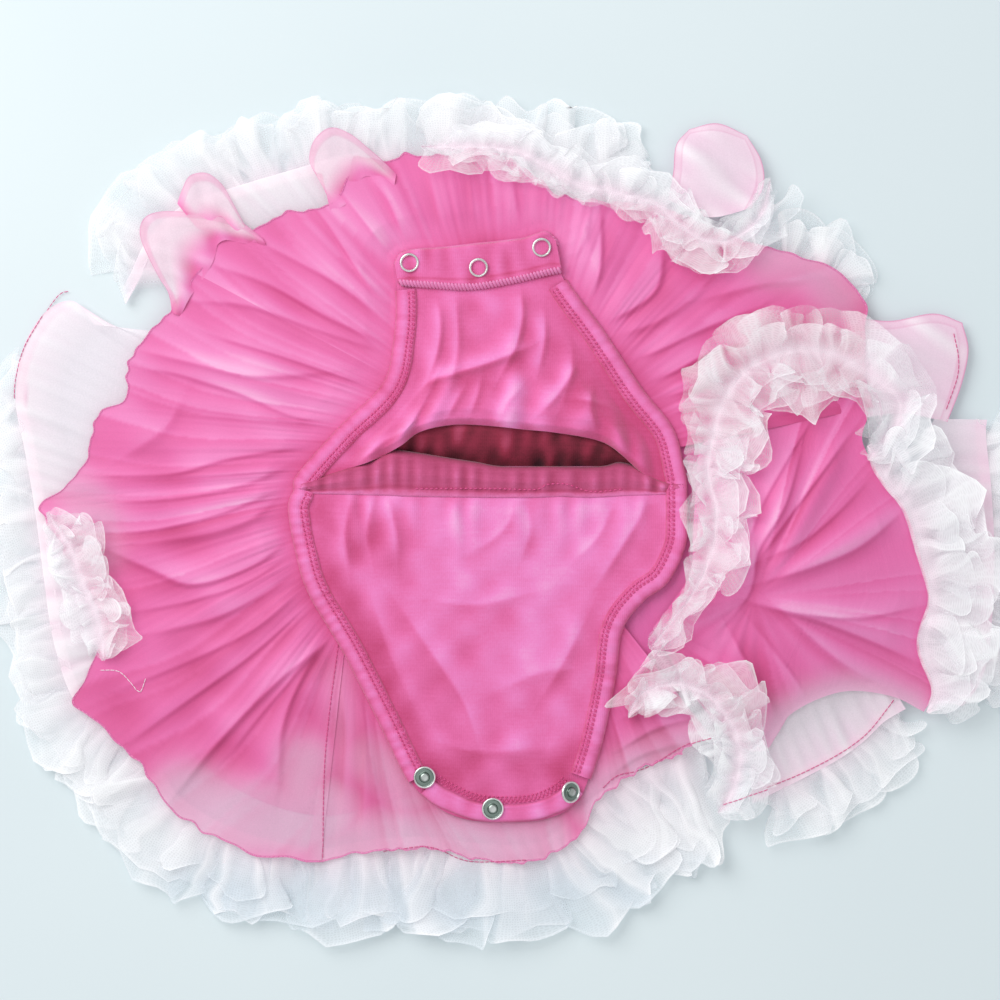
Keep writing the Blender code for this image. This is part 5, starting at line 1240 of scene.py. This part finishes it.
def leg_hem(name, side, shares, inward_sign, seed):
    """A turned leg hem: a soft roll with two sunk rows of stitching near its inner edge."""
    line = smooth_line(side, np.linspace(*shares, 220))
    inward = inward_sign * outward(line, 6)
    across, height = np.array(LEG_HEM_PROFILE).T
    run = travelled(line)[:, None]
    wobble = streaks(run, 0, seed, 0.02, 0.10, 0)
    grid = line[:, None] + inward[:, None] * across[None, :, None]
    ripple = 0.07 * streaks(run, across[None, :], seed + 1, 0.02, 0.22, 0.05)
    x, y = plan(grid)
    rise = height[None, :] * (1 + 0.05 * wobble) + ripple * within(height / 3)
    # Painted light across the roll: lighter on top, painted shade at its turned edge, stitch rows and inner
    # edge
    tone = 1.5 * ripple + np.interp(across, [-1, 1, 3, 4.8, 5.4, 7.8, 9],
                                    [-0.7, -0.05, 0.15, 0.0, -0.3, -0.3, -0.8])[None, :]
    grid = lift(grid, lining_top(x, y) + rise)
    piece = cloth(name + "_roll", [grid], JERSEY, tone=[tone])
    lay(piece, [grid], [name])
    return piece, line, inward


def crotch_trims():
    """The back's turned crotch hem, and the front's facing with its thick overlocked edge."""
    shares = np.linspace(0, 1, 15)
    hem = between(smooth_line(CROTCH_HEM_OUTER, 140), smooth_line(CROTCH_HEM_INNER, 140), shares)
    x, y = plan(hem)
    roll = np.interp(shares, [0, 0.05, 0.2, 0.55, 0.75, 0.9, 1], [-1.5, -0.3, 0.1, 0.2, -0.1, 0.1, -1.4])
    fine = streaks(x, y, 31, 0.03, 0.12, 0.05)
    hem = lift(hem, trim_top(x, y) + roll[None, :] + 0.15 * fine)
    # Painted shade: the roll's tone follows its height, darker where it turns down
    turned = cloth("crotch_hem_roll", [hem], JERSEY, tone=[0.2 * fine + roll[None, :] * 0.5])
    lay(turned, [hem], ["crotch_hem_back"])
    shares = np.linspace(0, 1, 32)
    facing = four_sided(FACING_LEFT[::-1], FACING_RIGHT[::-1], FACING_LOW, FACING_CROTCH, 110, shares)
    x, y = plan(facing)
    roll = np.interp(shares, [0, 0.03, 0.10, 0.17, 0.22, 0.6, 0.93, 1],
                     [-1.6, 0.3, 1.0, 0.5, 0.0, 0.2, 0.1, -1.5])
    fine = streaks(x, y, 33, 0.03, 0.14, 0.05)
    corner = 3.0 * within((x - 9) / 12) * within((y - 136.5) / 3)
    facing = lift(facing, trim_top(x, y) + roll[None, :] + 0.18 * fine + corner)
    # Painted shade at the facing's edges and in the groove behind its rolled edge
    tone = 0.2 * fine + np.interp(shares, [0, 0.1, 0.2, 0.24, 1], [-0.8, -0.3, -0.9, -0.3, -0.2])[None, :]
    piece = cloth("crotch_facing", [facing], JERSEY, FACING_THICK, tone=[tone])
    lay(piece, [facing], ["crotch_facing_front"])
    return turned, piece


def waistbands():
    """The elastic casing: its back length puckers, and its front hangs down inside the opening."""
    columns, rows = 220, 24
    shares = np.linspace(0, 1, rows)
    grid = between(smooth_line(CASING_BACK_LOW, columns), smooth_line(CASING_BACK_HIGH, columns), shares)
    x, y = plan(grid)
    pucker = streaks(x, 0, 41, 0.03, 0.16, 0) * np.sin(np.pi * shares)[None, :]
    roll = np.interp(shares, [0, 0.08, 0.16, 0.24, 0.5, 0.85, 1], [0.25, 0.8, 0.9, 0.6, 2.2, 2.0, -1.4])
    found = resting(grid[..., :2].reshape(-1, 2), bpy.data.objects["bloomer_back"])[:, 2].reshape(x.shape)
    heights = np.maximum(found, panel_top(x, y)) + roll[None, :] + 0.35 * pucker
    # Painted light and shade: lighter on the puckers and at the low edge, painted shade along the top edge
    tone = 0.28 * pucker + np.interp(shares, [0, 0.12, 0.2, 0.28, 0.6, 0.9, 1],
                                     [0.95, 0.6, -0.4, 0.1, 0.1, -0.2, -1.0])[None, :]
    grid = lift(grid, heights)
    piece = cloth("waistband_back_casing", [grid], SHADED_BAND, CASING_THICK, tone=[tone])
    lay(piece, [grid], ["waistband_back"])
    high, low = smooth_line(CASING_FRONT_HIGH, columns), smooth_line(CASING_FRONT_LOW, columns)
    shares = np.linspace(0, 1.9, 36)
    grid = between(high, low, shares)
    x, y = plan(grid)
    y = np.maximum(y, SLOT_BACK_Y - 1)
    crease = streaks(x, y, 43, 0.03, 0.12, 0.05)
    drop = np.interp(shares, [0, 0.25, 1.0, 1.5, 1.9], [0, 0, 1, 1.9, 2.1])[None, :]
    hung = within(drop)
    heights = lining_top(x, y) * (1 - hung) + OPENING_LEVEL * hung - 5.0 * within(drop - 1)
    grid = np.stack([x, y, np.maximum(heights + 0.6 * crease * hung, 2 * TABLE_CLEAR)], axis=-1)
    # Painted shade, deepening as the casing goes down into the opening and towards the right
    tone = 0.25 * crease + 0.2 - 1.5 * within(drop - 0.4) - 0.4 * within((x - 5) / 20)
    piece = cloth("waistband_front_casing", [grid], SHADED, tone=[tone])
    lay(piece, [grid], ["waistband_front"])


# ---- Sewing thread ----

def resting(points, *pieces):
    """Plan points set down on whichever of the pieces lies highest there, in plan millimetres."""
    bpy.context.view_layer.update()
    down = Vector((0, 0, -1))
    found = []
    for x, y in points[:, :2]:
        start = Vector(((x + SHIFT[0]) * MM, (y + SHIFT[1]) * MM, ABOVE_ALL * MM))
        hits = [piece.ray_cast(start, down) for piece in pieces]
        found.append(max([hit[1][2] / MM for hit in hits if hit[0]], default=BARE_TABLE))
    return np.column_stack([points[:, :2], found])


def stitches(name, ends, radius, finish, arch=0.0):
    """Threads from one point to another, each a small spindle that dips into the cloth at both ends."""
    around, rings, size = 6, np.array([0.0, 0.2, 0.8, 1.0]), np.array([0.25, 1.0, 1.0, 0.25])
    start, end = ends[:, 0], ends[:, 1]
    run = (end - start) / np.linalg.norm(end - start, axis=1)[:, None]
    side = np.cross(run, [0, 0, 1.0])
    side /= np.linalg.norm(side, axis=1)[:, None]
    up = np.cross(side, run)
    turn = 2 * np.pi * np.arange(around) / around
    ring = (side[:, None, None] * np.cos(turn)[None, None, :, None]
            + up[:, None, None] * np.sin(turn)[None, None, :, None])
    ring = ring * (size * radius)[None, :, None, None]
    middle = start[:, None] + (end - start)[:, None] * rings[None, :, None]
    middle[..., 2] += arch * np.sin(np.pi * rings)[None, :] - 0.25 * radius
    points = (middle[:, :, None] + ring).reshape(-1, 3)
    a = np.arange(around)
    quad = np.concatenate([np.stack([k * around + a, k * around + (a + 1) % around,
                                     (k + 1) * around + (a + 1) % around, (k + 1) * around + a], axis=1)
                           for k in range(3)])
    # Each end is closed with two faces
    lids = np.array([[0, 1, 2, 5], [5, 2, 3, 4], [18, 23, 20, 19], [23, 22, 21, 20]])
    quad = np.concatenate([quad[:, ::-1], lids])
    faces = (np.arange(len(ends))[:, None, None] * around * 4 + quad[None]).reshape(-1, 4)
    piece = mesh_piece(name, points, faces, finish)
    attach(piece, "root")
    return piece


def along(line, step, cover, side=0.0):
    """Start and end points of a row of stitches along a line, a step apart and some distance beside it.
    Cover is the share of a step that each stitch takes."""
    lengths = travelled(line)
    beside = line[:, :2] + outward(line, 3) * side
    starts = np.arange(0.5 * step, lengths[-1] - step, step)
    places = np.stack([starts, starts + cover * step], axis=1).ravel()
    return np.column_stack([np.interp(places, lengths, column) for column in beside.T])


def sewn(name, rows, radius, finish, pieces, arch=0.25, height=0.2):
    """A row or rows of stitches on the pieces below them."""
    points = resting(np.concatenate(rows), *pieces)
    points[:, 2] += height
    return stitches(name, points.reshape(-1, 2, 3), radius, finish, arch)


# ---- Snaps ----

def select_lid(piece, up):
    """Select a round piece's upper or lower lid, in edit mode by faces."""
    bpy.ops.object.mode_set(mode="OBJECT")
    bpy.context.tool_settings.mesh_select_mode = (False, False, True)
    for face in piece.data.polygons:
        face.select = face.normal.z * up > 0.9 and len(face.vertices) > 8
    bpy.ops.object.mode_set(mode="EDIT")


def press(name, blank, steps):
    """A round blank of sheet brass with its upper side pressed into rings, left in edit mode."""
    radius, thickness = blank
    bpy.ops.mesh.primitive_cylinder_add(vertices=SNAP_SIDES, radius=radius * MM, depth=thickness * MM,
                                        end_fill_type="NGON", calc_uvs=False)
    piece = bpy.context.active_object
    piece.name = name
    select_lid(piece, 1)
    for inward, upward in steps:
        bpy.ops.mesh.inset(thickness=inward * MM, depth=upward * MM)
    return piece


def settle(piece, place, edge, dish=(0, 0), tilt=0.0):
    """Round a pressed snap's edges, mark its tarnish and painted dark reflection, place it in its mesh, and
    let it ride.
    """
    bpy.ops.object.mode_set(mode="OBJECT")
    rounding = piece.modifiers.new("rounding", "BEVEL")
    rounding.width, rounding.segments, rounding.limit_method = edge * MM, 3, "ANGLE"
    bpy.ops.object.modifier_apply(modifier=rounding.name)
    tarnish_and_reflection = piece.data.attributes.new("tarnish_and_reflection", "FLOAT", "POINT")
    for corner in piece.data.vertices:
        out = math.hypot(corner.co.x, corner.co.y) / MM
        # Tarnish and painted dark reflection: full in the dish, less on the nub, none on the rim
        upper = (out < dish[1]) * (corner.co.z > 0)
        tarnish_and_reflection.data[corner.index].value = upper * (0.4 + 0.6 * (out > dish[0]))
    piece.rotation_euler = (0, tilt, 0)
    piece.location = place
    bpy.ops.object.transform_apply(location=True, rotation=True, scale=True)
    piece.data.materials.clear()
    piece.data.materials.append(NICKEL)
    bpy.ops.object.shade_smooth_by_angle(angle=math.radians(40))
    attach(piece, "root")
    bpy.ops.object.select_all(action="DESELECT")
    return piece


def snap_socket(name):
    """An open ring socket: a rolled ring with a sunk inner lip."""
    low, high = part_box("snap_socket_" + name)
    piece = press("snap_ring_" + name, RING_BLANK, RING_STEPS)
    bpy.ops.mesh.delete(type="FACE")
    select_lid(piece, -1)
    bpy.ops.mesh.inset(thickness=sum(inward for inward, upward in RING_STEPS) * MM)
    bpy.ops.mesh.delete(type="FACE")
    bpy.ops.mesh.select_mode(type="EDGE")
    bpy.ops.mesh.select_all(action="DESELECT")
    bpy.ops.mesh.select_non_manifold(extend=False)
    bpy.ops.mesh.bridge_edge_loops()
    middle = ((low[0] + high[0]) / 2, (low[1] + high[1]) / 2, low[2] + RING_BLANK[1] / 2 * MM)
    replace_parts(settle(piece, middle, RING_ROUNDING), "snap_socket_" + name)


def snap_stud(name, tilt):
    """A stud: a rolled rim, a dished plate and a round nub in its middle."""
    low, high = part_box("snap_stud_" + name)
    piece = press("snap_button_" + name, STUD_BLANK, STUD_STEPS)
    middle = ((low[0] + high[0]) / 2, (low[1] + high[1]) / 2,
              (low[2] + high[2]) / 2 - STUD_SINK * MM * math.cos(tilt))
    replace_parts(settle(piece, middle, STUD_ROUNDING, STUD_DISH, tilt), "snap_stud_" + name)


# ---- What each curl, casing, tier, ruffle and leg hem is made from ----

HEM_AT_CURLS = [
    (-52.5, 178.5), (-56, 176), (-60, 174.5), (-66.5, 175.5), (-74.5, 177), (-78.5, 175), (-80.5, 166),
    (-84.5, 158), (-91, 153), (-99, 150), (-110, 150), (-119.5, 144.5), (-127.5, 140.5), (-133.5, 138.5),
    (-140, 141), (-146.5, 142.5), (-150, 136.5), (-150, 129.5), (-152.5, 122.5), (-158, 114.5),
    (-164, 107), (-169, 100),
]
LINING_EDGE = sorted(LINING_HEM + [
    (math.degrees(math.atan2(y - WAIST_Y, x - WAIST_X)), math.hypot(x - WAIST_X, y - WAIST_Y))
    for x, y in HEM_AT_CURLS])
CURLS = [
    # outer line, inner line, swell, seed
    ([(-56.5, 168), (-62.5, 174), (-70.5, 181), (-79.5, 188), (-89, 191), (-96.5, 185.5), (-99.5, 177),
      (-97.5, 170), (-93, 168)],
     [(-57.5, 162), (-62.5, 165), (-69.5, 167), (-73.5, 166), (-75, 163), (-76.5, 159), (-79.5, 155),
      (-83, 152), (-89, 149.5)], 1.2, 201),
    ([(-123.5, 135.5), (-130.5, 142.5), (-136.5, 153), (-142.5, 163), (-150, 168.5), (-158, 167.5),
      (-162, 161), (-164.5, 153.5)],
     [(-120.5, 133.5), (-126.5, 134.5), (-131.5, 135), (-135.5, 136.5), (-139.5, 137.5),
      (-144.5, 138.5), (-150, 139.5), (-155, 141.5)], 1.0, 202),
    ([(-122.5, 136.5), (-133.5, 144.5), (-147.5, 148), (-161, 149.5), (-174, 149.5), (-181.5, 145.5),
      (-183, 138), (-179, 127.5), (-173.5, 117), (-169, 109.5), (-167, 99.5)],
     [(-120.5, 132.5), (-128.5, 133.5), (-134.5, 134.5), (-140.5, 135.5), (-144.5, 133.5),
      (-145.5, 129.5), (-147, 124.5), (-150, 119.5), (-154, 113), (-158, 107.5), (-163, 98)], 1.5, 203),
]
CASING_BACK_HIGH = [
    (-103, 16), (-82.5, 23), (-69.5, 27.5), (-58.5, 32), (-48, 31), (-29.5, 28), (-16.5, 26), (-4.5, 24),
    (18, 24), (43.5, 24), (53.5, 26), (63.5, 23), (73.5, 17), (84, 16),
]
CASING_BACK_LOW = [
    (-103.5, 10.5), (-79.5, 10), (-59.5, 9.5), (-48, 9), (-11, 8.5), (11.5, 8.5), (24, 9), (39.5, 8.5),
    (57.5, 9.5), (73.5, 10), (85, 10.5),
]
CASING_FRONT_HIGH = [(-62.5, 37), (-54.5, 41), (-35, 46.5), (-5.5, 48), (24, 44), (44, 37), (60.5, 26)]
CASING_FRONT_LOW = [(-58.5, 26), (-52.5, 26), (-35, 26), (-5.5, 25), (24, 24), (49, 22), (63.5, 20)]
LEG_HEM_PROFILE = [  # distance inwards from the panel's edge, height over the lining
    (-0.9, 0.3), (-1.3, 1), (-1.2, 1.9), (-0.6, 2.8), (0.4, 3.5), (1.6, 3.9), (3, 4), (4.2, 3.9),
    (5, 3.5), (5.6, 3.4), (6.2, 3.7), (6.9, 3.7), (7.5, 3.3), (8.1, 3.2), (8.6, 3.1), (9, 2.6),
    (9.2, 1.9), (9.3, 1.2),
]
SIDE_FOLD_PALE = [  # half_width, strength, points
    (10, 1, [(121, -116), (137.5, -102), (157, -92), (177, -91), (194, -97)]),
    (8, 0.55, [(63.5, -61.5), (73.5, -86), (93, -97), (113, -115)]),
]
BACK_SHADE = [  # half_width, strength, points
    (12, 0.7, [(-93, 5), (-79.5, -2.5), (-64.5, -16.5)]),
    (9, 0.5, [(-95, -12.5), (-84, -42), (-65.5, -81.5)]),
    (9, 0.4, [(59.5, -2.5), (49, -22), (39, -47)]),
    (8, 0.4, [(-45, -120.5), (-15.5, -128), (24, -123)]),
]
OUTER_TIERS = [
    # name, hem, first row, last row, inner edge, columns, whiteness
    ("tier_left", HEM_BELOW, 0, 9, TIER_LEFT_INNER, 280, 1.0),
    ("tier_top_left", HEM_ABOVE, 8, 15, TIER_TOP_LEFT_INNER, 200, 1.2),
    ("tier_low_right", HEM_LOW_RIGHT, 0, 6, TIER_LOW_RIGHT_INNER, 140, -0.7),
    ("tier_right", HEM_RIGHT, 0, 6, TIER_RIGHT_INNER, 180, -1.2),
]
HEM_RUFFLES = [
    # name, nodes, hem, first row, last row, crests at its ends, mean fold, shade low, sheerness, seed
    ("ruffle_top_right_net", ["ruffle_top_right"], HEM_TOP_RIGHT, 0, 3, (5, 6), 17, 0, 0.03, 100),
    ("ruffle_above_net", ["ruffle_top", "ruffle_top_left"], HEM_ABOVE, 0, 15, (7, 4), 24, 0, 0.06, 120),
    ("ruffle_below_net", ["ruffle_left", "ruffle_bottom_left", "ruffle_bottom", "ruffle_bottom_right"],
     HEM_BELOW, 3, 25, (5, 9), 23, -1.3, 0, 140),
    ("ruffle_low_right_net", ["ruffle_low_right"], HEM_LOW_RIGHT, 0, 6, (7, 6), 19, 0, 0.02, 160),
    ("ruffle_right_net", ["ruffle_right"], HEM_RIGHT, 0, 6, (6, 6), 20, 0.4, 0, 180),
]
TURNED_RUFFLES = [
    # node, rows, what it lies on, allowance, rise, mean fold, sheerness, seed
    ("ruffle_side_left", RUFFLE_SIDE_LEFT, side_fold_top, 1.0, 7.6, 24, 0.06, 400),
    ("ruffle_fold_low", RUFFLE_FOLD_LOW, side_fold_top, 2.0, 5.5, 15, 0.0, 420),
    ("ruffle_top_turned", RUFFLE_TOP_TURNED, lining_top, 3.6, 4.5, 21, 0.05, 440),
    ("ruffle_left_turned", RUFFLE_LEFT_TURNED, lining_top, 2.4, 4.5, 14, 0.02, 460),
    ("ruffle_side_right", RUFFLE_SIDE_RIGHT, lining_top, 0.8, 5.0, 19, 0.0, 480),
]
LEG_HEMS = [
    # name, panel side, share of its length from and to, which way is inwards
    ("leg_hem_left_front", FRONT_LEFT, (0.11, 1.0), -1),
    ("leg_hem_right_front", FRONT_RIGHT, (0.155, 1.0), 1),
    ("leg_hem_left_back", [(-106, 13.4)] + BACK_LEFT, (0.0, 0.926), -1),
    ("leg_hem_right_back", [(85, 14.8)] + BACK_RIGHT, (0.0, 0.932), 1),
]


# ---- The whole ----

hidden_tiers()
last_front, last_back = len(FRONT_PLEATS) - 1, len(BACK_PLEATS) - 1
linings = [lining_gore("lining_left_cloth", "lining_front", FRONT_PLEATS, 0, SHARED_PLEAT,
                       columns=440, rows=76, seed=50),
           lining_gore("lining_top_cloth", "lining_front", FRONT_PLEATS, SHARED_PLEAT, last_front,
                       columns=440, rows=76, seed=50),
           lining_gore("lining_back_cloth", "lining_back", BACK_PLEATS, 0, last_back,
                       columns=300, rows=70, seed=60, under=0.7)]
lining_pieces = [piece for piece, grid in linings]
curls()
below = lining_pieces + [side_fold()]
for number, (name, hem, first, last, inner, columns, whiteness) in enumerate(OUTER_TIERS):
    below.append(outer_tier(name, stretch(hem, first, last, columns), inner, 30, whiteness, 70 + number))
below.append(tier_patch(
    "tier_corner_right", (TIER_CORNER_LEFT, TIER_CORNER_RIGHT, TIER_CORNER_LOW, TIER_CORNER_HIGH),
    lambda x, y, even: tier_top(x, y), whiteness=-1.5, seed=80, puff=2.5))
below.append(tier_patch(
    "tier_loop_top", (LOOP_LEFT, LOOP_RIGHT, LOOP_LOW, LOOP_HIGH),
    lambda x, y, even: LOOP_LOW_MID + (LOOP_HIGH_MID - LOOP_LOW_MID) * even[None, :] + CHIFFON_WALL / 2,
    whiteness=-1.2, seed=81, puff=1.5))
for name, nodes, hem, first, last, *habits in HEM_RUFFLES:
    below.append(hem_ruffle(name, nodes, stretch(hem, first, last, NET_COLUMNS), *habits))
for row in TURNED_RUFFLES:
    below.append(turned_ruffle(*row))
bloomer_front = front_panel()
bloomer_back = back_panel()
rolls, seams = [], []
for number, (name, side, shares, inward_sign) in enumerate(LEG_HEMS):
    roll, line, inward = leg_hem(name, side, shares, inward_sign, 90 + number)
    rolls.append(roll)
    seams.append(line + inward * SEAM_INSET)
crotch_roll, facing = crotch_trims()
waistbands()

# Coverstitch on the leg hems and the crotch hem: two needle rows, and the looper's zigzag between them
crotch_line = smooth_line(CROTCH_HEM_INNER, 140)
seams.append(crotch_line - outward(crotch_line, 3) * CROTCH_SEAM_INSET)
hemmed = rolls + [crotch_roll, bloomer_back]
needle = [along(line, step=2.2, cover=0.7, side=side) for line in seams for side in NEEDLE_SIDES]
sewn("coverstitch_rows", needle, NEEDLE_THREAD, THREAD, hemmed)
looper = []
for line in seams:
    zigzag = along(line, step=1.1, cover=1.0)
    across = along(line, step=1.1, cover=1.0, side=1.15) - zigzag
    sign = np.repeat(np.resize([1, -1], len(zigzag) // 2), 2) * np.resize([1, -1], len(zigzag))
    looper.append(zigzag + across * sign[:, None])
sewn("coverstitch_looper", looper, FINE_THREAD, THREAD, hemmed, arch=0.1)

# Overlock on the facing's edge and on its corner, where each stitch reaches over the edge
hooks = along(smooth_line(FACING_LOW, 160), step=1.7, cover=0.9)
hooks[1::2] += [0.3, -1.6]
hooks[0::2] += [0, 1.8]
corner_hooks = along(smooth_line(FACING_CORNER, 40), step=1.7, cover=0.9)
corner_hooks[1::2] += [2.0, -0.4]
sewn("facing_overlock", [hooks, corner_hooks], WOOLLY_THREAD, THREAD_LIGHT, [facing, bloomer_front],
     arch=0.5, height=0.6)
sewn("waist_stitching", [along(smooth_line(WAIST_SEAM, 200), step=2.4, cover=0.65)], WAIST_THREAD, THREAD,
     [bpy.data.objects["waistband_back_casing"], bloomer_back])
hem_rows = [along(smooth_line(points, 160), step=2.6, cover=0.92) for points in HEM_STITCHES]
sewn("hem_stitching", hem_rows, ROLLED_HEM_THREAD, THREAD, below, height=0.25)
serged = [along(grid[::3, -2, :2], step=2.2, cover=0.9) for piece, grid in linings]
sewn("lining_serging", serged, FINE_THREAD, THREAD_LIGHT, lining_pieces, arch=0.1, height=0.0)
loose = np.repeat(smooth_line(LOOSE_THREAD, 14), 2, axis=0)[1:-1]
sewn("loose_thread", [loose], ROLLED_HEM_THREAD, THREAD_PALE, below, arch=0.0, height=0.3)

for name in SNAPS:
    snap_socket(name)
for name, tilt in SNAPS.items():
    snap_stud(name, tilt)


# ---- Floor, light and camera, in metres ----

FLOOR_SIZE = 6.0
FLOOR_DROP = 0.0002         # under the cloth, so that the two don't flicker
LAMPS = [  # name, place, size, watts
    ("window", (-0.85, 0.75, 1.15), 1.2, 16.5),
    ("fill", (0.5, -0.7, 1.8), 1.6, 3.0),
]
ROOM_LIGHT = 0.62
VIEW_HEIGHT = 1.4           # camera over the middle of the cloth's height
VIEW_WIDTH = 0.4926         # how much it sees across from there
VIEW_X, VIEW_Y = -5.42, 7.39        # where it looks, in plan millimetres
CLOTH_MIDDLE = 0.009
SENSOR = 36                 # millimetres

bpy.ops.mesh.primitive_plane_add(size=FLOOR_SIZE, location=(0, 0, -FLOOR_DROP))
floor = bpy.context.active_object
floor.name = "floor"
paper, tree = new_finish("paper_pale_blue_white", Roughness=0.75)
place = add(tree, "TexCoord", out="Object")
cloud = add(tree, "TexNoise", {"Vector": place, "Scale": 2.5, "Detail": 2.0})
colour = add(tree, "ValToRGB", {"Fac": cloud}, stops=[(0.3, "#DCE6E9"), (0.7, "#E3ECEE")])
floor.data.materials.append(link_finish(paper, Base_Color=colour))

scene = bpy.context.scene
scene.world = bpy.data.worlds.new("soft_room")
scene.world.use_nodes = True
room = scene.world.node_tree.nodes["Background"].inputs
room["Color"].default_value, room["Strength"].default_value = linear("#F3F8FB"), ROOM_LIGHT
for name, place, size, watts in LAMPS:
    lamp = bpy.data.lights.new(name, "AREA")
    lamp.energy, lamp.size = watts, size
    stand = bpy.data.objects.new(name, lamp)
    stand.location = place
    stand.rotation_euler = Vector(place).to_track_quat("Z", "Y").to_euler()
    scene.collection.objects.link(stand)

lens = bpy.data.cameras.new("camera")
lens.lens, lens.sensor_width = SENSOR * VIEW_HEIGHT / VIEW_WIDTH, SENSOR
camera = bpy.data.objects.new("camera", lens)
camera.location = ((VIEW_X + SHIFT[0]) * MM, (VIEW_Y + SHIFT[1]) * MM, VIEW_HEIGHT + CLOTH_MIDDLE)
scene.collection.objects.link(camera)
bpy.context.scene.camera = camera
scene.view_settings.view_transform = "Standard"
scene.cycles.transparent_max_bounces = 24
